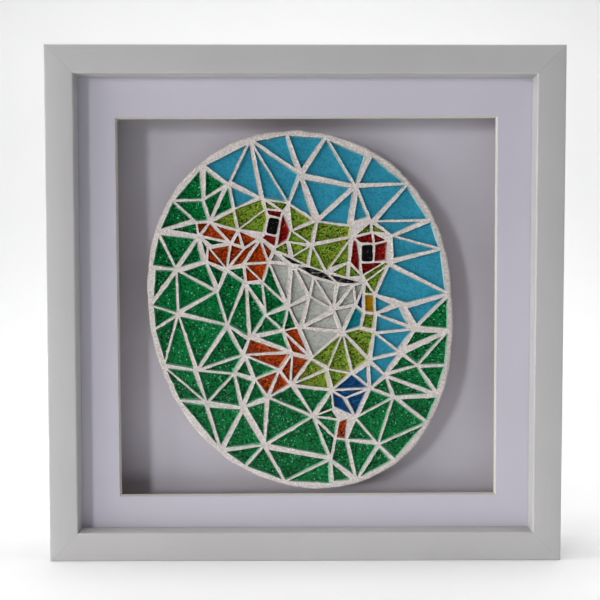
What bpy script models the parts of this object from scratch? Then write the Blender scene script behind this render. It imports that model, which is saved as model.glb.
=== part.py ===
"""Mosaic panel: an oval glass mosaic of a tree frog among leaves, mounted in a white box frame.

The frame stands on its bottom rail.  +X is to the right, +Z is up and the picture faces -Y.  The
origin is under the frame: the middle of its width, the middle of its depth, and its lowest face.
Lengths that the layout of the picture uses are written in millimetres, and the rest in metres.
"""

import math
import random
from collections import Counter

import bmesh
import bpy
from mathutils import Matrix, Vector
from mathutils.geometry import delaunay_2d_cdt

MM = 0.001
TOUCH = 0.3 * MM            # gap that two touching pieces keep

# ---- frame ---------------------------------------------------------------------------------------
FRAME_SIDE = 270 * MM
FRAME_DEPTH = 40 * MM
RAIL_FACE = 15 * MM         # width of the rail as seen from the front
RAIL_WALL = 9 * MM          # thickness of the rail behind its lip
LIP_DEPTH = 9.5 * MM        # thickness of the lip, from the front to the mount board
EDGE_ROUND = 0.8 * MM       # rounded corners of the rail's section
EDGE_STEPS = 3
MITRE_GAP = 0.3 * MM

# ---- mount board ---------------------------------------------------------------------------------
MOUNT_SIDE = 250 * MM
MOUNT_THICK = 1.6 * MM
MOUNT_DROP = 0.6 * MM       # the board lies this far below the frame's middle
WINDOW_SIDE = 201 * MM      # the window at the back of the board, inside its bevel
WINDOW_OFF = (1.0 * MM, -1.6 * MM)
WINDOW_TILT = math.radians(0.2)
BEVEL_WIDTH = 0.9 * MM

# ---- behind the mount board ----------------------------------------------------------------------
BACK_FACE = 31 * MM         # from the frame's front to the face of the back board
BACK_THICK = 3 * MM
SPACER_WIDTH = 6 * MM
TAB_SIZE = (8 * MM, 0.6 * MM, 12 * MM)
TAB_PLACES = (-70 * MM, 70 * MM)
HANGER_SIZE = (44 * MM, 1.2 * MM, 11 * MM)
HANGER_TEETH = 9
HANGER_TOOTH = 2 * MM
HANGER_DROP = 42 * MM       # from the top of the frame to the hanger's middle
RIVET_RADIUS = 2.2 * MM
RIVET_RISE = 1.0 * MM
RIVET_SIDES = 12

# ---- mosaic --------------------------------------------------------------------------------------
GLASS_FACE = 11.0 * MM      # from the frame's front to the face of the glass
GLASS_THICK = 4.0 * MM
BED_THICK = 1.0 * MM        # adhesive under the glass, which joins the pieces of one colour
GROUT_RECESS = 0.3 * MM     # the grout lies this far below the face of the glass
BED_INSET = 0.2             # mm, half the gap between the beds of two colours
BASE_INSET = 1.0            # mm, the base board stops this far inside the grout's outline

OVAL_CENTRE = (-1.9, -4.0)  # mm from the middle of the frame
OVAL_RADIUS = 89.8          # mm, the outline's mean radius
# how far the hand-sawn outline departs from a circle: (lobes, mm, direction of the fullest part)
OVAL_LOBES = ((1, 1.4, 74), (2, 7.9, 102), (3, 1.1, 49), (4, 0.9, 39))
OVAL_STEPS = 72
RIM_MARGIN = 2.1            # mm of grout outside the glass
RIM_SPACING = {"sky": 23.0, "leaves": 20.5}     # mm between the corners along the rim

SEED = 20


# ---- layout of the picture, in mm from the middle of the frame -----------------------------------

def oval_point(angle, inset=0.0):
    """A point of the hand-sawn oval outline, at an angle in radians."""
    radius = OVAL_RADIUS - inset
    for lobes, height, towards in OVAL_LOBES:
        radius += height * math.cos(lobes * (angle - math.radians(towards)))
    return (OVAL_CENTRE[0] + radius * math.cos(angle), OVAL_CENTRE[1] + radius * math.sin(angle))


# corners measured from the middle of an eye, anticlockwise: the upright pupil from its lower left,
# and the ring of hand-cut pieces round it
LEFT_PUPIL = ((-4.1, -4.0), (2.4, -5.4), (4.3, 4.1), (-2.3, 5.3))
RIGHT_PUPIL = ((-3.6, -4.9), (3.5, -4.8), (3.6, 5.0), (-3.4, 4.9))
LEFT_RING = ((-6.6, -6.4), (1.6, -11.6), (7.8, -8.2), (9.8, -2.4), (5.4, 8.0), (-3.6, 9.0))
RIGHT_RING = ((-2.6, -12.2), (10.4, -4.2), (11.2, 6.8), (2.8, 11.4), (-8.0, 8.6), (-9.8, -4.6))
LEFT_EYE = (-17.5, 42.0)
RIGHT_EYE = (33.0, 27.5)

MOUTH_LEFT = (-16.5, 29.0)
MOUTH_RIGHT = (32.0, 12.0)
MOUTH_SAG = 4.6
MOUTH_HEIGHT = 4.6
# where the mouth's outline has corners, as shares of its length: its two slanting joints run between
# the second corners and between the third corners
UPPER_LIP = (0.18, 0.37, 0.57, 0.80)
LOWER_LIP = (0.19, 0.43, 0.69, 0.87)


def around(middle, corners):
    """Corners that are given from a middle point, in mm from the middle of the frame."""
    return [(middle[0] + x, middle[1] + z) for x, z in corners]


def mouth_point(part, side):
    """A point of the sagging mouth, on its upper edge (side 1) or lower edge (side -1)."""
    swell = math.sin(math.pi * part)
    plump = math.sqrt(swell)
    x = MOUTH_LEFT[0] + (MOUTH_RIGHT[0] - MOUTH_LEFT[0]) * part
    z = MOUTH_LEFT[1] + (MOUTH_RIGHT[1] - MOUTH_LEFT[1]) * part
    return (x, z - MOUTH_SAG * swell + side * MOUTH_HEIGHT / 2 * plump)


def picture():
    """The frog's outlines: drawn single pieces, and zones that are cut up at random."""
    left = around(LEFT_EYE, LEFT_RING)
    left_pupil = around(LEFT_EYE, LEFT_PUPIL)
    right = around(RIGHT_EYE, RIGHT_RING)
    right_pupil = around(RIGHT_EYE, RIGHT_PUPIL)
    upper_lip = [mouth_point(part, 1) for part in UPPER_LIP]
    lower_lip = [mouth_point(part, -1) for part in LOWER_LIP]
    head_tip, brow_left, head_right, cheek = (-51, 44), (-38, 51), (46, 37), (37, 5.5)
    jaw, chest_top, chest_left = (31.4, 6), (-19.5, 22.5), (-9, -1)
    chest_tip, chest_side, flank_top, flank_mid = (3, -29), (20, -15), (27, 0), (31.4, -4)
    flank_low, flank_edge, belly_top, belly_edge = (30, -12), (37.5, -5), (37, -15), (34, -30)
    thigh_top, belly_low, foot_heel, palm = (25, -37), (14, -46), (-8, -43), (-7, -26)

    drawn = [("pupil", left_pupil), ("pupil", right_pupil)]
    drawn.append(("eye", [left[0], left[1], left_pupil[1], left_pupil[0]]))
    drawn.append(("eye", [left[1], left[2], left[3], left[4], left_pupil[2], left_pupil[1]]))
    drawn.append(("eye", [left[4], left[5], left_pupil[3], left_pupil[2]]))
    drawn.append(("eye", [right[0], right[1], right_pupil[1], right_pupil[0]]))
    drawn.append(("eye", [right[1], right[2], right_pupil[2], right_pupil[1]]))
    drawn.append(("eye", [right[2], right[3], right_pupil[2]]))
    drawn.append(("eye", [right[3], right[4], right_pupil[3], right_pupil[2]]))
    drawn.append(("eye", [right[4], right[5], right[0], right_pupil[0], right_pupil[3]]))
    drawn.append(("mouth", [MOUTH_LEFT, lower_lip[0], upper_lip[1], upper_lip[0]]))
    drawn.append(("mouth", lower_lip[:3] + [upper_lip[2], upper_lip[1]]))
    drawn.append(("mouth", [upper_lip[2], lower_lip[2], lower_lip[3], MOUTH_RIGHT, upper_lip[3]]))
    drawn.append(("thigh", [MOUTH_RIGHT, jaw, flank_mid, flank_top]))
    drawn.append(("ochre", [jaw, cheek, flank_edge, flank_mid]))
    drawn.append(("teal", [flank_top, flank_mid, flank_low, chest_side]))
    drawn.append(("foot", [(18, -62), (23, -61), (22, -73), (16, -72)]))

    zones = [
        ("head", [head_tip, brow_left, (-23, 56.5), (-9, 54), (6, 44.5), (25, 42), (35, 44.5), head_right,
                  (45, 22), cheek, jaw, MOUTH_RIGHT] + upper_lip[::-1]
         + [MOUTH_LEFT, left[1], left[0], (-36, 40)]),
        ("chest", [MOUTH_LEFT] + lower_lip + [MOUTH_RIGHT, flank_top, chest_side, chest_tip, chest_left,
                                              chest_top]),
        ("belly", [chest_tip, chest_side, flank_low, flank_mid, flank_edge, belly_top, belly_edge,
                   thigh_top, belly_low, foot_heel]),
        ("thigh", [thigh_top, (35, -45), (27, -61), (15, -56), belly_low]),
        ("foot", [chest_tip, foot_heel, (-20, -50), (-27, -40), (-14, -35), (-33, -27), (-30, -18), palm,
                  (-12, -14), (-3, -12)]),
        ("hand", [left[0], left[1], MOUTH_LEFT, chest_top, (-23, 12), (-32, 12), (-33, 22), (-42, 19),
                  (-53, 23), (-52, 31), (-40, 33), (-57, 37), (-58, 44), head_tip, (-36, 40)]),
    ]
    return drawn, zones


# the sky's lower edge: against the leaves on the left, under the frog, and against the leaves again
SKY_LEFT = ((-41, 64), (-38, 51))
SKY_UNDER = ((10, 30), (15, -10))
SKY_RIGHT = ((25, -37), (35, -45), (43, -38), (51, -26), (59, -13))
SKY_FROM, SKY_TO = 124, 7       # degrees, where the sky meets the rim on the left and on the right
SKY_BEYOND = 60                 # mm, how far outside the rim the sky's outline is closed

# mean distance between the corners that the cutter strikes, in mm
SHARD_SIZE = {"sky": 25.0, "leaves": 20.5, "head": 19.5, "chest": 17.0, "belly": 18.0, "thigh": 12.0,
              "foot": 12.0, "hand": 12.0}
HALF_JOINT = 0.45               # mm, half of the narrowest joint
# how far a piece's edge may draw back from that at each of its ends, in mm
JOINT_OPENING = {"sky": 2.2, "leaves": 1.8, "head": 1.3, "chest": 1.6, "belly": 1.6, "thigh": 1.0,
                 "foot": 1.1, "hand": 1.1, "eye": 0.6, "pupil": 0.2, "mouth": 0.2, "ochre": 0.6,
                 "teal": 0.6}
WEDGE_POWER = 3.6               # few joints open far: a random share to this power of the opening
SEED_SPREAD = (0.85, 1.1)       # least and most distance between two corners, as shares of the mean
SEED_TRIES = 9000
FIELD_REACH = 110               # mm, no part of the field is further from its centre
EDGE_CLEAR = 0.55               # share of a zone's shard size that seeds keep from its edges
QUAD_SHARE = 0.10               # share of the joints that are left out, so that two triangles make a quad
FLIP_SHARE = 0.45               # share of the joints that are turned, for long and pointed pieces
SMALLEST_ANGLE = math.radians(17)
STRAIGHTEST_CORNER = 0.12       # sine of the turn at a corner that is still cut as one
LARGEST_QUAD = 0.80             # share of the square of the shard size
SHORTEST_EDGE = 0.3             # mm
SHARPEST_MITRE = 0.45           # keeps the point of a drawn-in corner short
MOST_SPOKES = 7                 # pieces that meet at one corner
SMALLEST_PIECE = 7.0            # mm², a smaller chip isn't laid


def inside(point, outline):
    """Whether a point lies inside a closed outline."""
    x, z = point
    odd = False
    for (ax, az), (bx, bz) in zip(outline, outline[1:] + outline[:1]):
        if (az > z) != (bz > z) and x < ax + (z - az) * (bx - ax) / (bz - az):
            odd = not odd
    return odd


def edge_distance(point, start, end):
    """Distance from a point to a straight edge."""
    run = Vector(end) - Vector(start)
    reach = Vector(point) - Vector(start)
    share = max(0.0, min(1.0, reach.dot(run) / run.length_squared))
    return (reach - run * share).length


def area(outline):
    """Signed area of an outline, positive when it runs anticlockwise."""
    total = 0.0
    for (ax, az), (bx, bz) in zip(outline, outline[1:] + outline[:1]):
        total += ax * bz - bx * az
    return total / 2


def anticlockwise(outline):
    """The outline as a list that runs anticlockwise."""
    return list(outline) if area(list(outline)) > 0 else list(outline)[::-1]


def clipped(outline, start, end, margins):
    """The part of a convex outline left of the line start-end, by a margin at each of its ends."""
    run = Vector(end) - Vector(start)
    across = Vector((-run.y, run.x)).normalized()
    heights = []
    for point in outline:
        reach = Vector(point) - Vector(start)
        share = reach.dot(run) / run.length_squared
        heights.append(across.dot(reach) - margins[0] - (margins[1] - margins[0]) * share)
    kept = []
    for index, point in enumerate(outline):
        after = (index + 1) % len(outline)
        if heights[index] >= 0:
            kept.append(tuple(point))
        if (heights[index] >= 0) != (heights[after] >= 0):
            share = heights[index] / (heights[index] - heights[after])
            kept.append(tuple(Vector(point).lerp(Vector(outline[after]), share)))
    return kept


def shrunk(outline, margins, less=0.0):
    """A convex outline drawn in by a pair of margins along each edge, each a little less."""
    result = list(outline)
    for index, (first, last) in enumerate(margins):
        if len(result) < 3:
            return []
        pair = (first - less, last - less)
        result = clipped(result, outline[index], outline[(index + 1) % len(outline)], pair)
    tidy = []
    for point in result:
        if not tidy or (Vector(point) - Vector(tidy[-1])).length > SHORTEST_EDGE:
            tidy.append(point)
    while len(tidy) > 2 and (Vector(tidy[0]) - Vector(tidy[-1])).length <= SHORTEST_EDGE:
        tidy.pop()
    return tidy if len(tidy) >= 3 else []


def triangles(points, edges):
    """Constrained Delaunay triangles over points, each a tuple of point numbers."""
    spots, _, faces, _, _, _ = delaunay_2d_cdt([Vector(point) for point in points], edges, [], 0, 1e-5)
    return [tuple(spot) for spot in spots], [tuple(face) for face in faces]


class Field:
    """The area of the glass, cut into one convex cell for each piece."""

    def __init__(self):
        self.chance = random.Random(SEED)
        self.points = []
        self.edges = []
        self.drawn, self.zones = picture()
        self.rim = self.rim_points()
        self.sky = self.sky_outline()
        self.lay_out()

    def number(self, point):
        """The number of a point, added if it is new."""
        for index, known in enumerate(self.points):
            if (Vector(known) - Vector(point)).length < 0.05:
                return index
        self.points.append(tuple(point))
        return len(self.points) - 1

    def fence(self, outline, closed=True):
        """Keep the outline's edges as joints."""
        numbers = [self.number(point) for point in outline]
        pairs = list(zip(numbers, numbers[1:] + numbers[:1]))
        self.edges.extend(pairs if closed else pairs[:-1])

    def rim_points(self):
        """Corners along the rim, unevenly spaced, with one where each end of the sky meets it."""
        angles = []
        for zone, first, last in (("leaves", SKY_FROM, SKY_TO + 360), ("sky", SKY_TO + 360, SKY_FROM + 360)):
            length = math.radians(last - first) * OVAL_RADIUS
            count = round(length / RIM_SPACING[zone])
            for step in range(count):
                drift = self.chance.uniform(-0.22, 0.22) if step else 0.0
                angles.append(first + (last - first) * (step + drift) / count)
        return [self.rim_corner(angle) for angle in angles]

    def sky_outline(self):
        """The sky's outline: its lower edge, closed over the top."""
        over = [oval_point(math.radians(angle), -SKY_BEYOND) for angle in range(SKY_TO, SKY_FROM + 1, 13)]
        under = SKY_LEFT + SKY_UNDER + SKY_RIGHT
        return [self.rim_corner(SKY_FROM), *under, self.rim_corner(SKY_TO), *over]

    def zone_of(self, point):
        """The zone that holds a point; None in a piece that is drawn."""
        for _, outline in self.drawn:
            if inside(point, list(outline)):
                return None
        for name, outline in self.zones:
            if inside(point, outline):
                return name
        return "sky" if inside(point, self.sky) else "leaves"

    def seeds(self):
        """Random corners inside the zones, kept apart from each other and from the fences."""
        seeds = []
        fences = [(self.points[a], self.points[b]) for a, b in self.edges]
        for _ in range(SEED_TRIES):
            angle = self.chance.uniform(0, 2 * math.pi)
            reach = FIELD_REACH * math.sqrt(self.chance.random())
            point = (OVAL_CENTRE[0] + reach * math.cos(angle), OVAL_CENTRE[1] + reach * math.sin(angle))
            zone = self.zone_of(point)
            if not zone or not inside(point, self.rim):
                continue
            size = SHARD_SIZE[zone]
            spread = size * self.chance.uniform(*SEED_SPREAD)
            if any((Vector(point) - Vector(seed)).length < spread for seed in seeds):
                continue
            if any(edge_distance(point, a, b) < size * EDGE_CLEAR for a, b in fences):
                continue
            seeds.append(point)
        return seeds

    def lay_out(self):
        """Triangulate the field, then turn and drop some joints within each zone."""
        self.fence(self.rim)
        for _, outline in self.drawn + self.zones:
            self.fence(outline)
        self.fence([self.rim_corner(SKY_FROM), *SKY_LEFT], closed=False)
        self.fence([*SKY_RIGHT, self.rim_corner(SKY_TO)], closed=False)
        for seed in self.seeds():
            self.points.append(seed)
        self.points, faces = triangles(self.points, self.edges)
        fenced = {frozenset(edge) for edge in self.edges}
        cells = {}
        for face in faces:
            middle = sum((Vector(self.points[corner]) for corner in face), Vector((0, 0))) / 3
            zone = self.zone_of(tuple(middle))
            if zone and inside(tuple(middle), self.rim):
                cells[len(cells)] = (zone, self.turned(face))
        self.turn_joints(cells, fenced)
        self.drop_joints(cells, fenced)
        self.cells = [(zone, [self.points[corner] for corner in face]) for zone, face in cells.values()]
        self.cells += [(zone, anticlockwise(outline)) for zone, outline in self.drawn]

    def rim_corner(self, angle):
        """The rim's corner at an angle in degrees."""
        return oval_point(math.radians(angle), RIM_MARGIN)

    def turned(self, face):
        """The face's corners, anticlockwise."""
        return tuple(face) if area([self.points[corner] for corner in face]) > 0 else tuple(face)[::-1]

    def joints(self, cells, fenced):
        """Pairs of triangles of one zone with the joint between them."""
        owners = {}
        for key, (_, face) in cells.items():
            for a, b in zip(face, face[1:] + face[:1]):
                owners.setdefault(frozenset((a, b)), []).append(key)
        found = []
        for edge, keys in owners.items():
            if len(keys) == 2 and edge not in fenced and cells[keys[0]][0] == cells[keys[1]][0]:
                found.append((tuple(sorted(edge)), keys[0], keys[1]))
        found.sort()
        return found

    def least_angle(self, face):
        """The smallest corner angle of a face."""
        least = math.pi
        for index, corner in enumerate(face):
            here = Vector(self.points[corner])
            before = Vector(self.points[face[index - 1]]) - here
            after = Vector(self.points[face[(index + 1) % len(face)]]) - here
            least = min(least, before.angle(after, 0.0))
        return least

    def bent_out(self, face):
        """Whether a face is convex, with no corner that is nearly straight."""
        for index, corner in enumerate(face):
            here = Vector(self.points[corner])
            before = here - Vector(self.points[face[index - 1]])
            after = Vector(self.points[face[(index + 1) % len(face)]]) - here
            if before.cross(after) < STRAIGHTEST_CORNER * before.length * after.length:
                return False
        return True

    def quad(self, cells, first, second, edge):
        """The four-sided face that two triangles make without their joint."""
        face = cells[first][1]
        far = [corner for corner in cells[second][1] if corner not in edge][0]
        result = []
        for index, corner in enumerate(face):
            result.append(corner)
            if corner in edge and face[(index + 1) % 3] in edge:
                result.append(far)
        return tuple(result)

    def turn_joints(self, cells, fenced):
        """Swap the diagonal between some pairs of triangles."""
        spokes = Counter(corner for _, face in cells.values() for corner in face)
        for edge, first, second in self.joints(cells, fenced):
            if self.chance.random() > FLIP_SHARE:
                continue
            shared = set(cells[first][1]) & set(cells[second][1])
            if shared != set(edge):
                continue
            quad = self.quad(cells, first, second, edge)
            if not self.bent_out(quad):
                continue
            start = [index for index, corner in enumerate(quad) if corner not in edge][0]
            around = quad[start:] + quad[:start]
            pair = (around[0], around[1], around[2]), (around[0], around[2], around[3])
            ends = (around[0], around[2])
            crowded = max(spokes[corner] for corner in ends) >= MOST_SPOKES
            if not crowded and min(self.least_angle(face) for face in pair) > SMALLEST_ANGLE:
                spokes.update(ends)
                spokes.subtract(edge)
                cells[first] = (cells[first][0], pair[0])
                cells[second] = (cells[second][0], pair[1])

    def drop_joints(self, cells, fenced):
        """Join some pairs of triangles, the thinnest pieces first."""
        joints = self.joints(cells, fenced)
        used = set()

        def thin(joint):
            return min(self.least_angle(cells[joint[1]][1]), self.least_angle(cells[joint[2]][1]))

        for joint in sorted(joints, key=thin):
            edge, first, second = joint
            if first in used or second in used:
                continue
            quad = self.quad(cells, first, second, edge)
            zone = cells[first][0]
            size = area([self.points[corner] for corner in quad])
            needed = thin(joint) < SMALLEST_ANGLE
            if not self.bent_out(quad) or (size > LARGEST_QUAD * SHARD_SIZE[zone] ** 2 and not needed):
                continue
            if needed or self.chance.random() < QUAD_SHARE:
                cells[first] = (zone, quad)
                del cells[second]
                used.update((first, second))


def shards(field):
    """Each piece of glass: its zone, its cell, its outline and the outline of its pocket in the grout."""
    chance = random.Random(SEED + 1)
    result = []
    for zone, cell in field.cells:
        opening = JOINT_OPENING[zone]
        margins = []
        for _ in cell:
            drawn_back = [HALF_JOINT + opening * chance.random() ** WEDGE_POWER for _ in range(2)]
            margins.append(tuple(drawn_back))
        outline = shrunk(cell, margins)
        pocket = shrunk(cell, margins, TOUCH / MM)
        if outline and pocket and abs(area(outline)) > SMALLEST_PIECE:
            result.append((zone, cell, outline, pocket))
    return result


# ---- solids --------------------------------------------------------------------------------------

def plain_material(name, colour, roughness, metallic=0.0):
    """A Principled material; the same name gives the same material again."""
    known = bpy.data.materials.get(name)
    if known:
        return known
    material = bpy.data.materials.new(name)
    material.use_nodes = True
    shader = material.node_tree.nodes["Principled BSDF"]
    shader.inputs["Base Color"].default_value = (*colour, 1.0)
    shader.inputs["Roughness"].default_value = roughness
    shader.inputs["Metallic"].default_value = metallic
    material.diffuse_color = (*colour, 1.0)
    return material


def add_solid(name, mesh_data, material):
    """An object from a bmesh, with its faces turned outwards."""
    bmesh.ops.remove_doubles(mesh_data, verts=mesh_data.verts, dist=0.00001)
    bmesh.ops.recalc_face_normals(mesh_data, faces=mesh_data.faces)
    mesh = bpy.data.meshes.new(name)
    mesh_data.to_mesh(mesh)
    mesh_data.free()
    mesh.materials.append(material)
    solid = bpy.data.objects.new(name, mesh)
    bpy.context.scene.collection.objects.link(solid)
    return solid


def depth_y(depth):
    """World Y of a plane that lies a depth behind the frame's front."""
    return depth - FRAME_DEPTH / 2


def at_panel(point, y):
    """World place of a layout point (mm from the frame's middle) on the plane y."""
    return (point[0] * MM, y, FRAME_SIDE / 2 + point[1] * MM)


class Slab:
    """A body with flat faces and straight walls, built in planes parallel to the picture."""

    def __init__(self):
        self.mesh = bmesh.new()
        self.known = {}

    def vert(self, point, y):
        key = (round(point[0], 4), round(point[1], 4), round(y, 6))
        if key not in self.known:
            self.known[key] = self.mesh.verts.new(at_panel(point, y))
        return self.known[key]

    def cover(self, loops, y):
        """A flat face over the area inside an odd number of loops."""
        points = []
        edges = []
        for loop in loops:
            first = len(points)
            points.extend(loop)
            edges.extend((first + i, first + (i + 1) % len(loop)) for i in range(len(loop)))
        spots, faces = triangles(points, edges)
        for face in faces:
            middle = tuple(sum((Vector(spots[corner]) for corner in face), Vector((0, 0))) / 3)
            if sum(inside(middle, list(loop)) for loop in loops) % 2:
                self.mesh.faces.new([self.vert(spots[corner], y) for corner in face])

    def wall(self, loop, near, far):
        """A straight wall along a loop, between two planes."""
        for a, b in zip(loop, loop[1:] + loop[:1]):
            self.mesh.faces.new([self.vert(a, near), self.vert(b, near), self.vert(b, far),
                                 self.vert(a, far)])

    def finish(self, name, material):
        return add_solid(name, self.mesh, material)


def plate(name, loops, near, far, material):
    """A plate between two planes, with its outline first and then its holes."""
    slab = Slab()
    slab.cover(loops, near)
    slab.cover(loops, far)
    for loop in loops:
        slab.wall(loop, near, far)
    return slab.finish(name, material)


def block(name, low, high, material):
    """A rectangular block between two corners."""
    mesh_data = bmesh.new()
    bmesh.ops.create_cube(mesh_data, size=1.0)
    size = Vector(high) - Vector(low)
    middle = (Vector(high) + Vector(low)) / 2
    bmesh.ops.scale(mesh_data, vec=size, verts=mesh_data.verts)
    bmesh.ops.translate(mesh_data, vec=middle, verts=mesh_data.verts)
    return add_solid(name, mesh_data, material)


# ---- frame ---------------------------------------------------------------------------------------

def rounded(corner, before, after):
    """Points of a small arc in place of a square corner of the rail's section."""
    corner, before, after = Vector(corner), Vector(before), Vector(after)
    start = (before - corner).normalized() * EDGE_ROUND
    end = (after - corner).normalized() * EDGE_ROUND
    centre = corner + start + end
    points = []
    for step in range(EDGE_STEPS + 1):
        turn = math.pi / 2 * step / EDGE_STEPS
        points.append(centre - end * math.cos(turn) - start * math.sin(turn))
    return points


def rail_section():
    """The rail's section: (distance in from the outer face, depth behind the front)."""
    front_out, front_in = (0, 0), (RAIL_FACE, 0)
    lip_back, wall_in = (RAIL_FACE, LIP_DEPTH), (RAIL_WALL, LIP_DEPTH)
    back_in, back_out = (RAIL_WALL, FRAME_DEPTH), (0, FRAME_DEPTH)
    section = rounded(front_out, back_out, front_in)
    section += rounded(front_in, front_out, lip_back)
    section += [Vector(lip_back), Vector(wall_in), Vector(back_in)]
    section += rounded(back_out, back_in, front_out)
    return section


def frame_rail(name, quarter, material):
    """One mitred rail, turned by quarters of a circle from the bottom one."""
    mesh_data = bmesh.new()
    half = FRAME_SIDE / 2
    rings = []
    for side in (-1, 1):
        ring = []
        for across, depth in rail_section():
            reach = half - across - MITRE_GAP / 2
            ring.append(mesh_data.verts.new((side * reach, depth_y(depth), across - half)))
        rings.append(ring)
    count = len(rings[0])
    for index in range(count):
        after = (index + 1) % count
        mesh_data.faces.new([rings[0][index], rings[0][after], rings[1][after], rings[1][index]])
    for ring in rings:
        mesh_data.faces.new(ring)
    turn = Matrix.Rotation(quarter * math.pi / 2, 4, "Y")
    bmesh.ops.transform(mesh_data, matrix=Matrix.Translation((0, 0, half)) @ turn, verts=mesh_data.verts)
    rail = add_solid(name, mesh_data, material)
    rail.data.shade_smooth()
    rail.data.set_sharp_from_angle(angle=math.radians(40))
    return rail


def square(side, centre, tilt=0.0):
    """Corners of a square in the picture's plane, in mm."""
    corners = []
    for step in range(4):
        angle = math.pi / 4 + step * math.pi / 2 + tilt
        reach = side / math.sqrt(2)
        corners.append((centre[0] + reach * math.cos(angle), centre[1] + reach * math.sin(angle)))
    return corners


def make_frame(material):
    """The four rails."""
    for quarter, name in enumerate(("bottom", "left", "top", "right")):
        frame_rail(f"frame_{name}_rail", quarter, material)


def make_mount_board(material):
    """The mount board, with a square window whose edge is cut at a slant."""
    board = square(MOUNT_SIDE / MM, (0, -MOUNT_DROP / MM))
    centre = (WINDOW_OFF[0] / MM, WINDOW_OFF[1] / MM)
    window_back = square(WINDOW_SIDE / MM, centre, WINDOW_TILT)
    window_front = square((WINDOW_SIDE + 2 * BEVEL_WIDTH) / MM, centre, WINDOW_TILT)
    near = depth_y(LIP_DEPTH + TOUCH)
    far = near + MOUNT_THICK
    slab = Slab()
    slab.cover([board, window_front], near)
    slab.cover([board, window_back], far)
    slab.wall(board, near, far)
    for step in range(4):
        after = (step + 1) % 4
        slab.mesh.faces.new([slab.vert(window_front[step], near), slab.vert(window_front[after], near),
                             slab.vert(window_back[after], far), slab.vert(window_back[step], far)])
    slab.finish("mount_board", material)


def make_spacers(material):
    """Four strips that keep the mount board against the lip, in front of the back board."""
    near = depth_y(LIP_DEPTH + MOUNT_THICK + 2 * TOUCH)
    far = depth_y(BACK_FACE - TOUCH)
    out = FRAME_SIDE / 2 - RAIL_WALL - TOUCH
    within = out - SPACER_WIDTH
    middle = FRAME_SIDE / 2
    for name, side in (("top", 1), ("bottom", -1)):
        low, high = sorted((side * within, side * out))
        block(f"spacer_{name}", (-out, near, middle + low), (out, far, middle + high), material)
    for name, side in (("left", -1), ("right", 1)):
        low, high = sorted((side * within, side * out))
        block(f"spacer_{name}", (low, near, middle - within + TOUCH), (high, far, middle + within - TOUCH),
              material)


def make_back(board_material, steel):
    """The back board, its bendable tabs and its hanger."""
    outline = square(MOUNT_SIDE / MM, (0, -MOUNT_DROP / MM))
    far = BACK_FACE + BACK_THICK
    plate("back_board", [outline], depth_y(BACK_FACE), depth_y(far), board_material)
    width, thick, reach = TAB_SIZE
    out = FRAME_SIDE / 2 - RAIL_WALL - TOUCH
    middle = FRAME_SIDE / 2
    near = depth_y(far + TOUCH)
    for place in TAB_PLACES:
        side_name = "low" if place < 0 else "high"
        for name, side in (("left", -1), ("right", 1)):
            low, high = sorted((side * (out - reach), side * out))
            block(f"tab_{name}_{side_name}", (low, near, middle + place - width / 2),
                  (high, near + thick, middle + place + width / 2), steel)
        for name, side in (("bottom", -1), ("top", 1)):
            low, high = sorted((side * (out - reach), side * out))
            block(f"tab_{name}_{side_name}", (place - width / 2, near, middle + low),
                  (place + width / 2, near + thick, middle + high), steel)
    make_hanger(near, steel)


def circle(middle, radius):
    """Corners of a circle, in mm from the middle of the frame."""
    corners = []
    for step in range(RIVET_SIDES):
        angle = 2 * math.pi * step / RIVET_SIDES
        corners.append((middle[0] + radius * math.cos(angle), middle[1] + radius * math.sin(angle)))
    return corners


def make_hanger(near, steel):
    """A toothed hanger plate with two rivet heads."""
    length, thick, height = (size / MM for size in HANGER_SIZE)
    centre = (FRAME_SIDE / 2 - HANGER_DROP) / MM
    outline = [(length / 2, height / 2), (-length / 2, height / 2), (-length / 2, -height / 2),
               (-length / 4, -height / 2)]
    pitch = length / 2 / HANGER_TEETH
    for tooth in range(HANGER_TEETH):
        start = -length / 4 + tooth * pitch
        outline.append((start + pitch / 2, -height / 2 + HANGER_TOOTH / MM))
        outline.append((start + pitch, -height / 2))
    outline.append((length / 2, -height / 2))
    outline = [(x, z + centre) for x, z in outline]
    far = near + thick * MM
    slab = Slab()
    slab.cover([outline], near)
    slab.wall(outline, near, far)
    heads = []
    for side in (-1, 1):
        heads.append(circle((side * length * 0.375, centre), RIVET_RADIUS / MM))
    slab.cover([outline] + heads, far)
    for head in heads:
        slab.wall(head, far, far + RIVET_RISE)
        slab.cover([head], far + RIVET_RISE)
    slab.finish("hanger", steel)


# ---- mosaic --------------------------------------------------------------------------------------

def oval_outline(inset=0.0):
    """The oval as a closed outline in mm."""
    return [oval_point(2 * math.pi * step / OVAL_STEPS, inset) for step in range(OVAL_STEPS)]


def make_base(material):
    """The oval base board, glued to the back board."""
    near = depth_y(GLASS_FACE + GLASS_THICK + BED_THICK + TOUCH)
    plate("base_board", [oval_outline(BASE_INSET)], near, depth_y(BACK_FACE - TOUCH), material)


def make_grout(field, pieces, material):
    """The grout: a sheet with a pocket for each piece, and a rim that reaches down to the base."""
    outline = oval_outline()
    pockets = [pocket for _, _, _, pocket in pieces]
    near = depth_y(GLASS_FACE + GROUT_RECESS)
    under = depth_y(GLASS_FACE + GLASS_THICK - TOUCH)
    foot = depth_y(GLASS_FACE + GLASS_THICK + BED_THICK)
    slab = Slab()
    slab.cover([outline] + pockets, near)
    slab.cover([field.rim] + pockets, under)
    for pocket in pockets:
        slab.wall(pocket, near, under)
    slab.wall(field.rim, under, foot)
    slab.cover([outline, field.rim], foot)
    slab.wall(outline, near, foot)
    slab.finish("grout", material)


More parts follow.
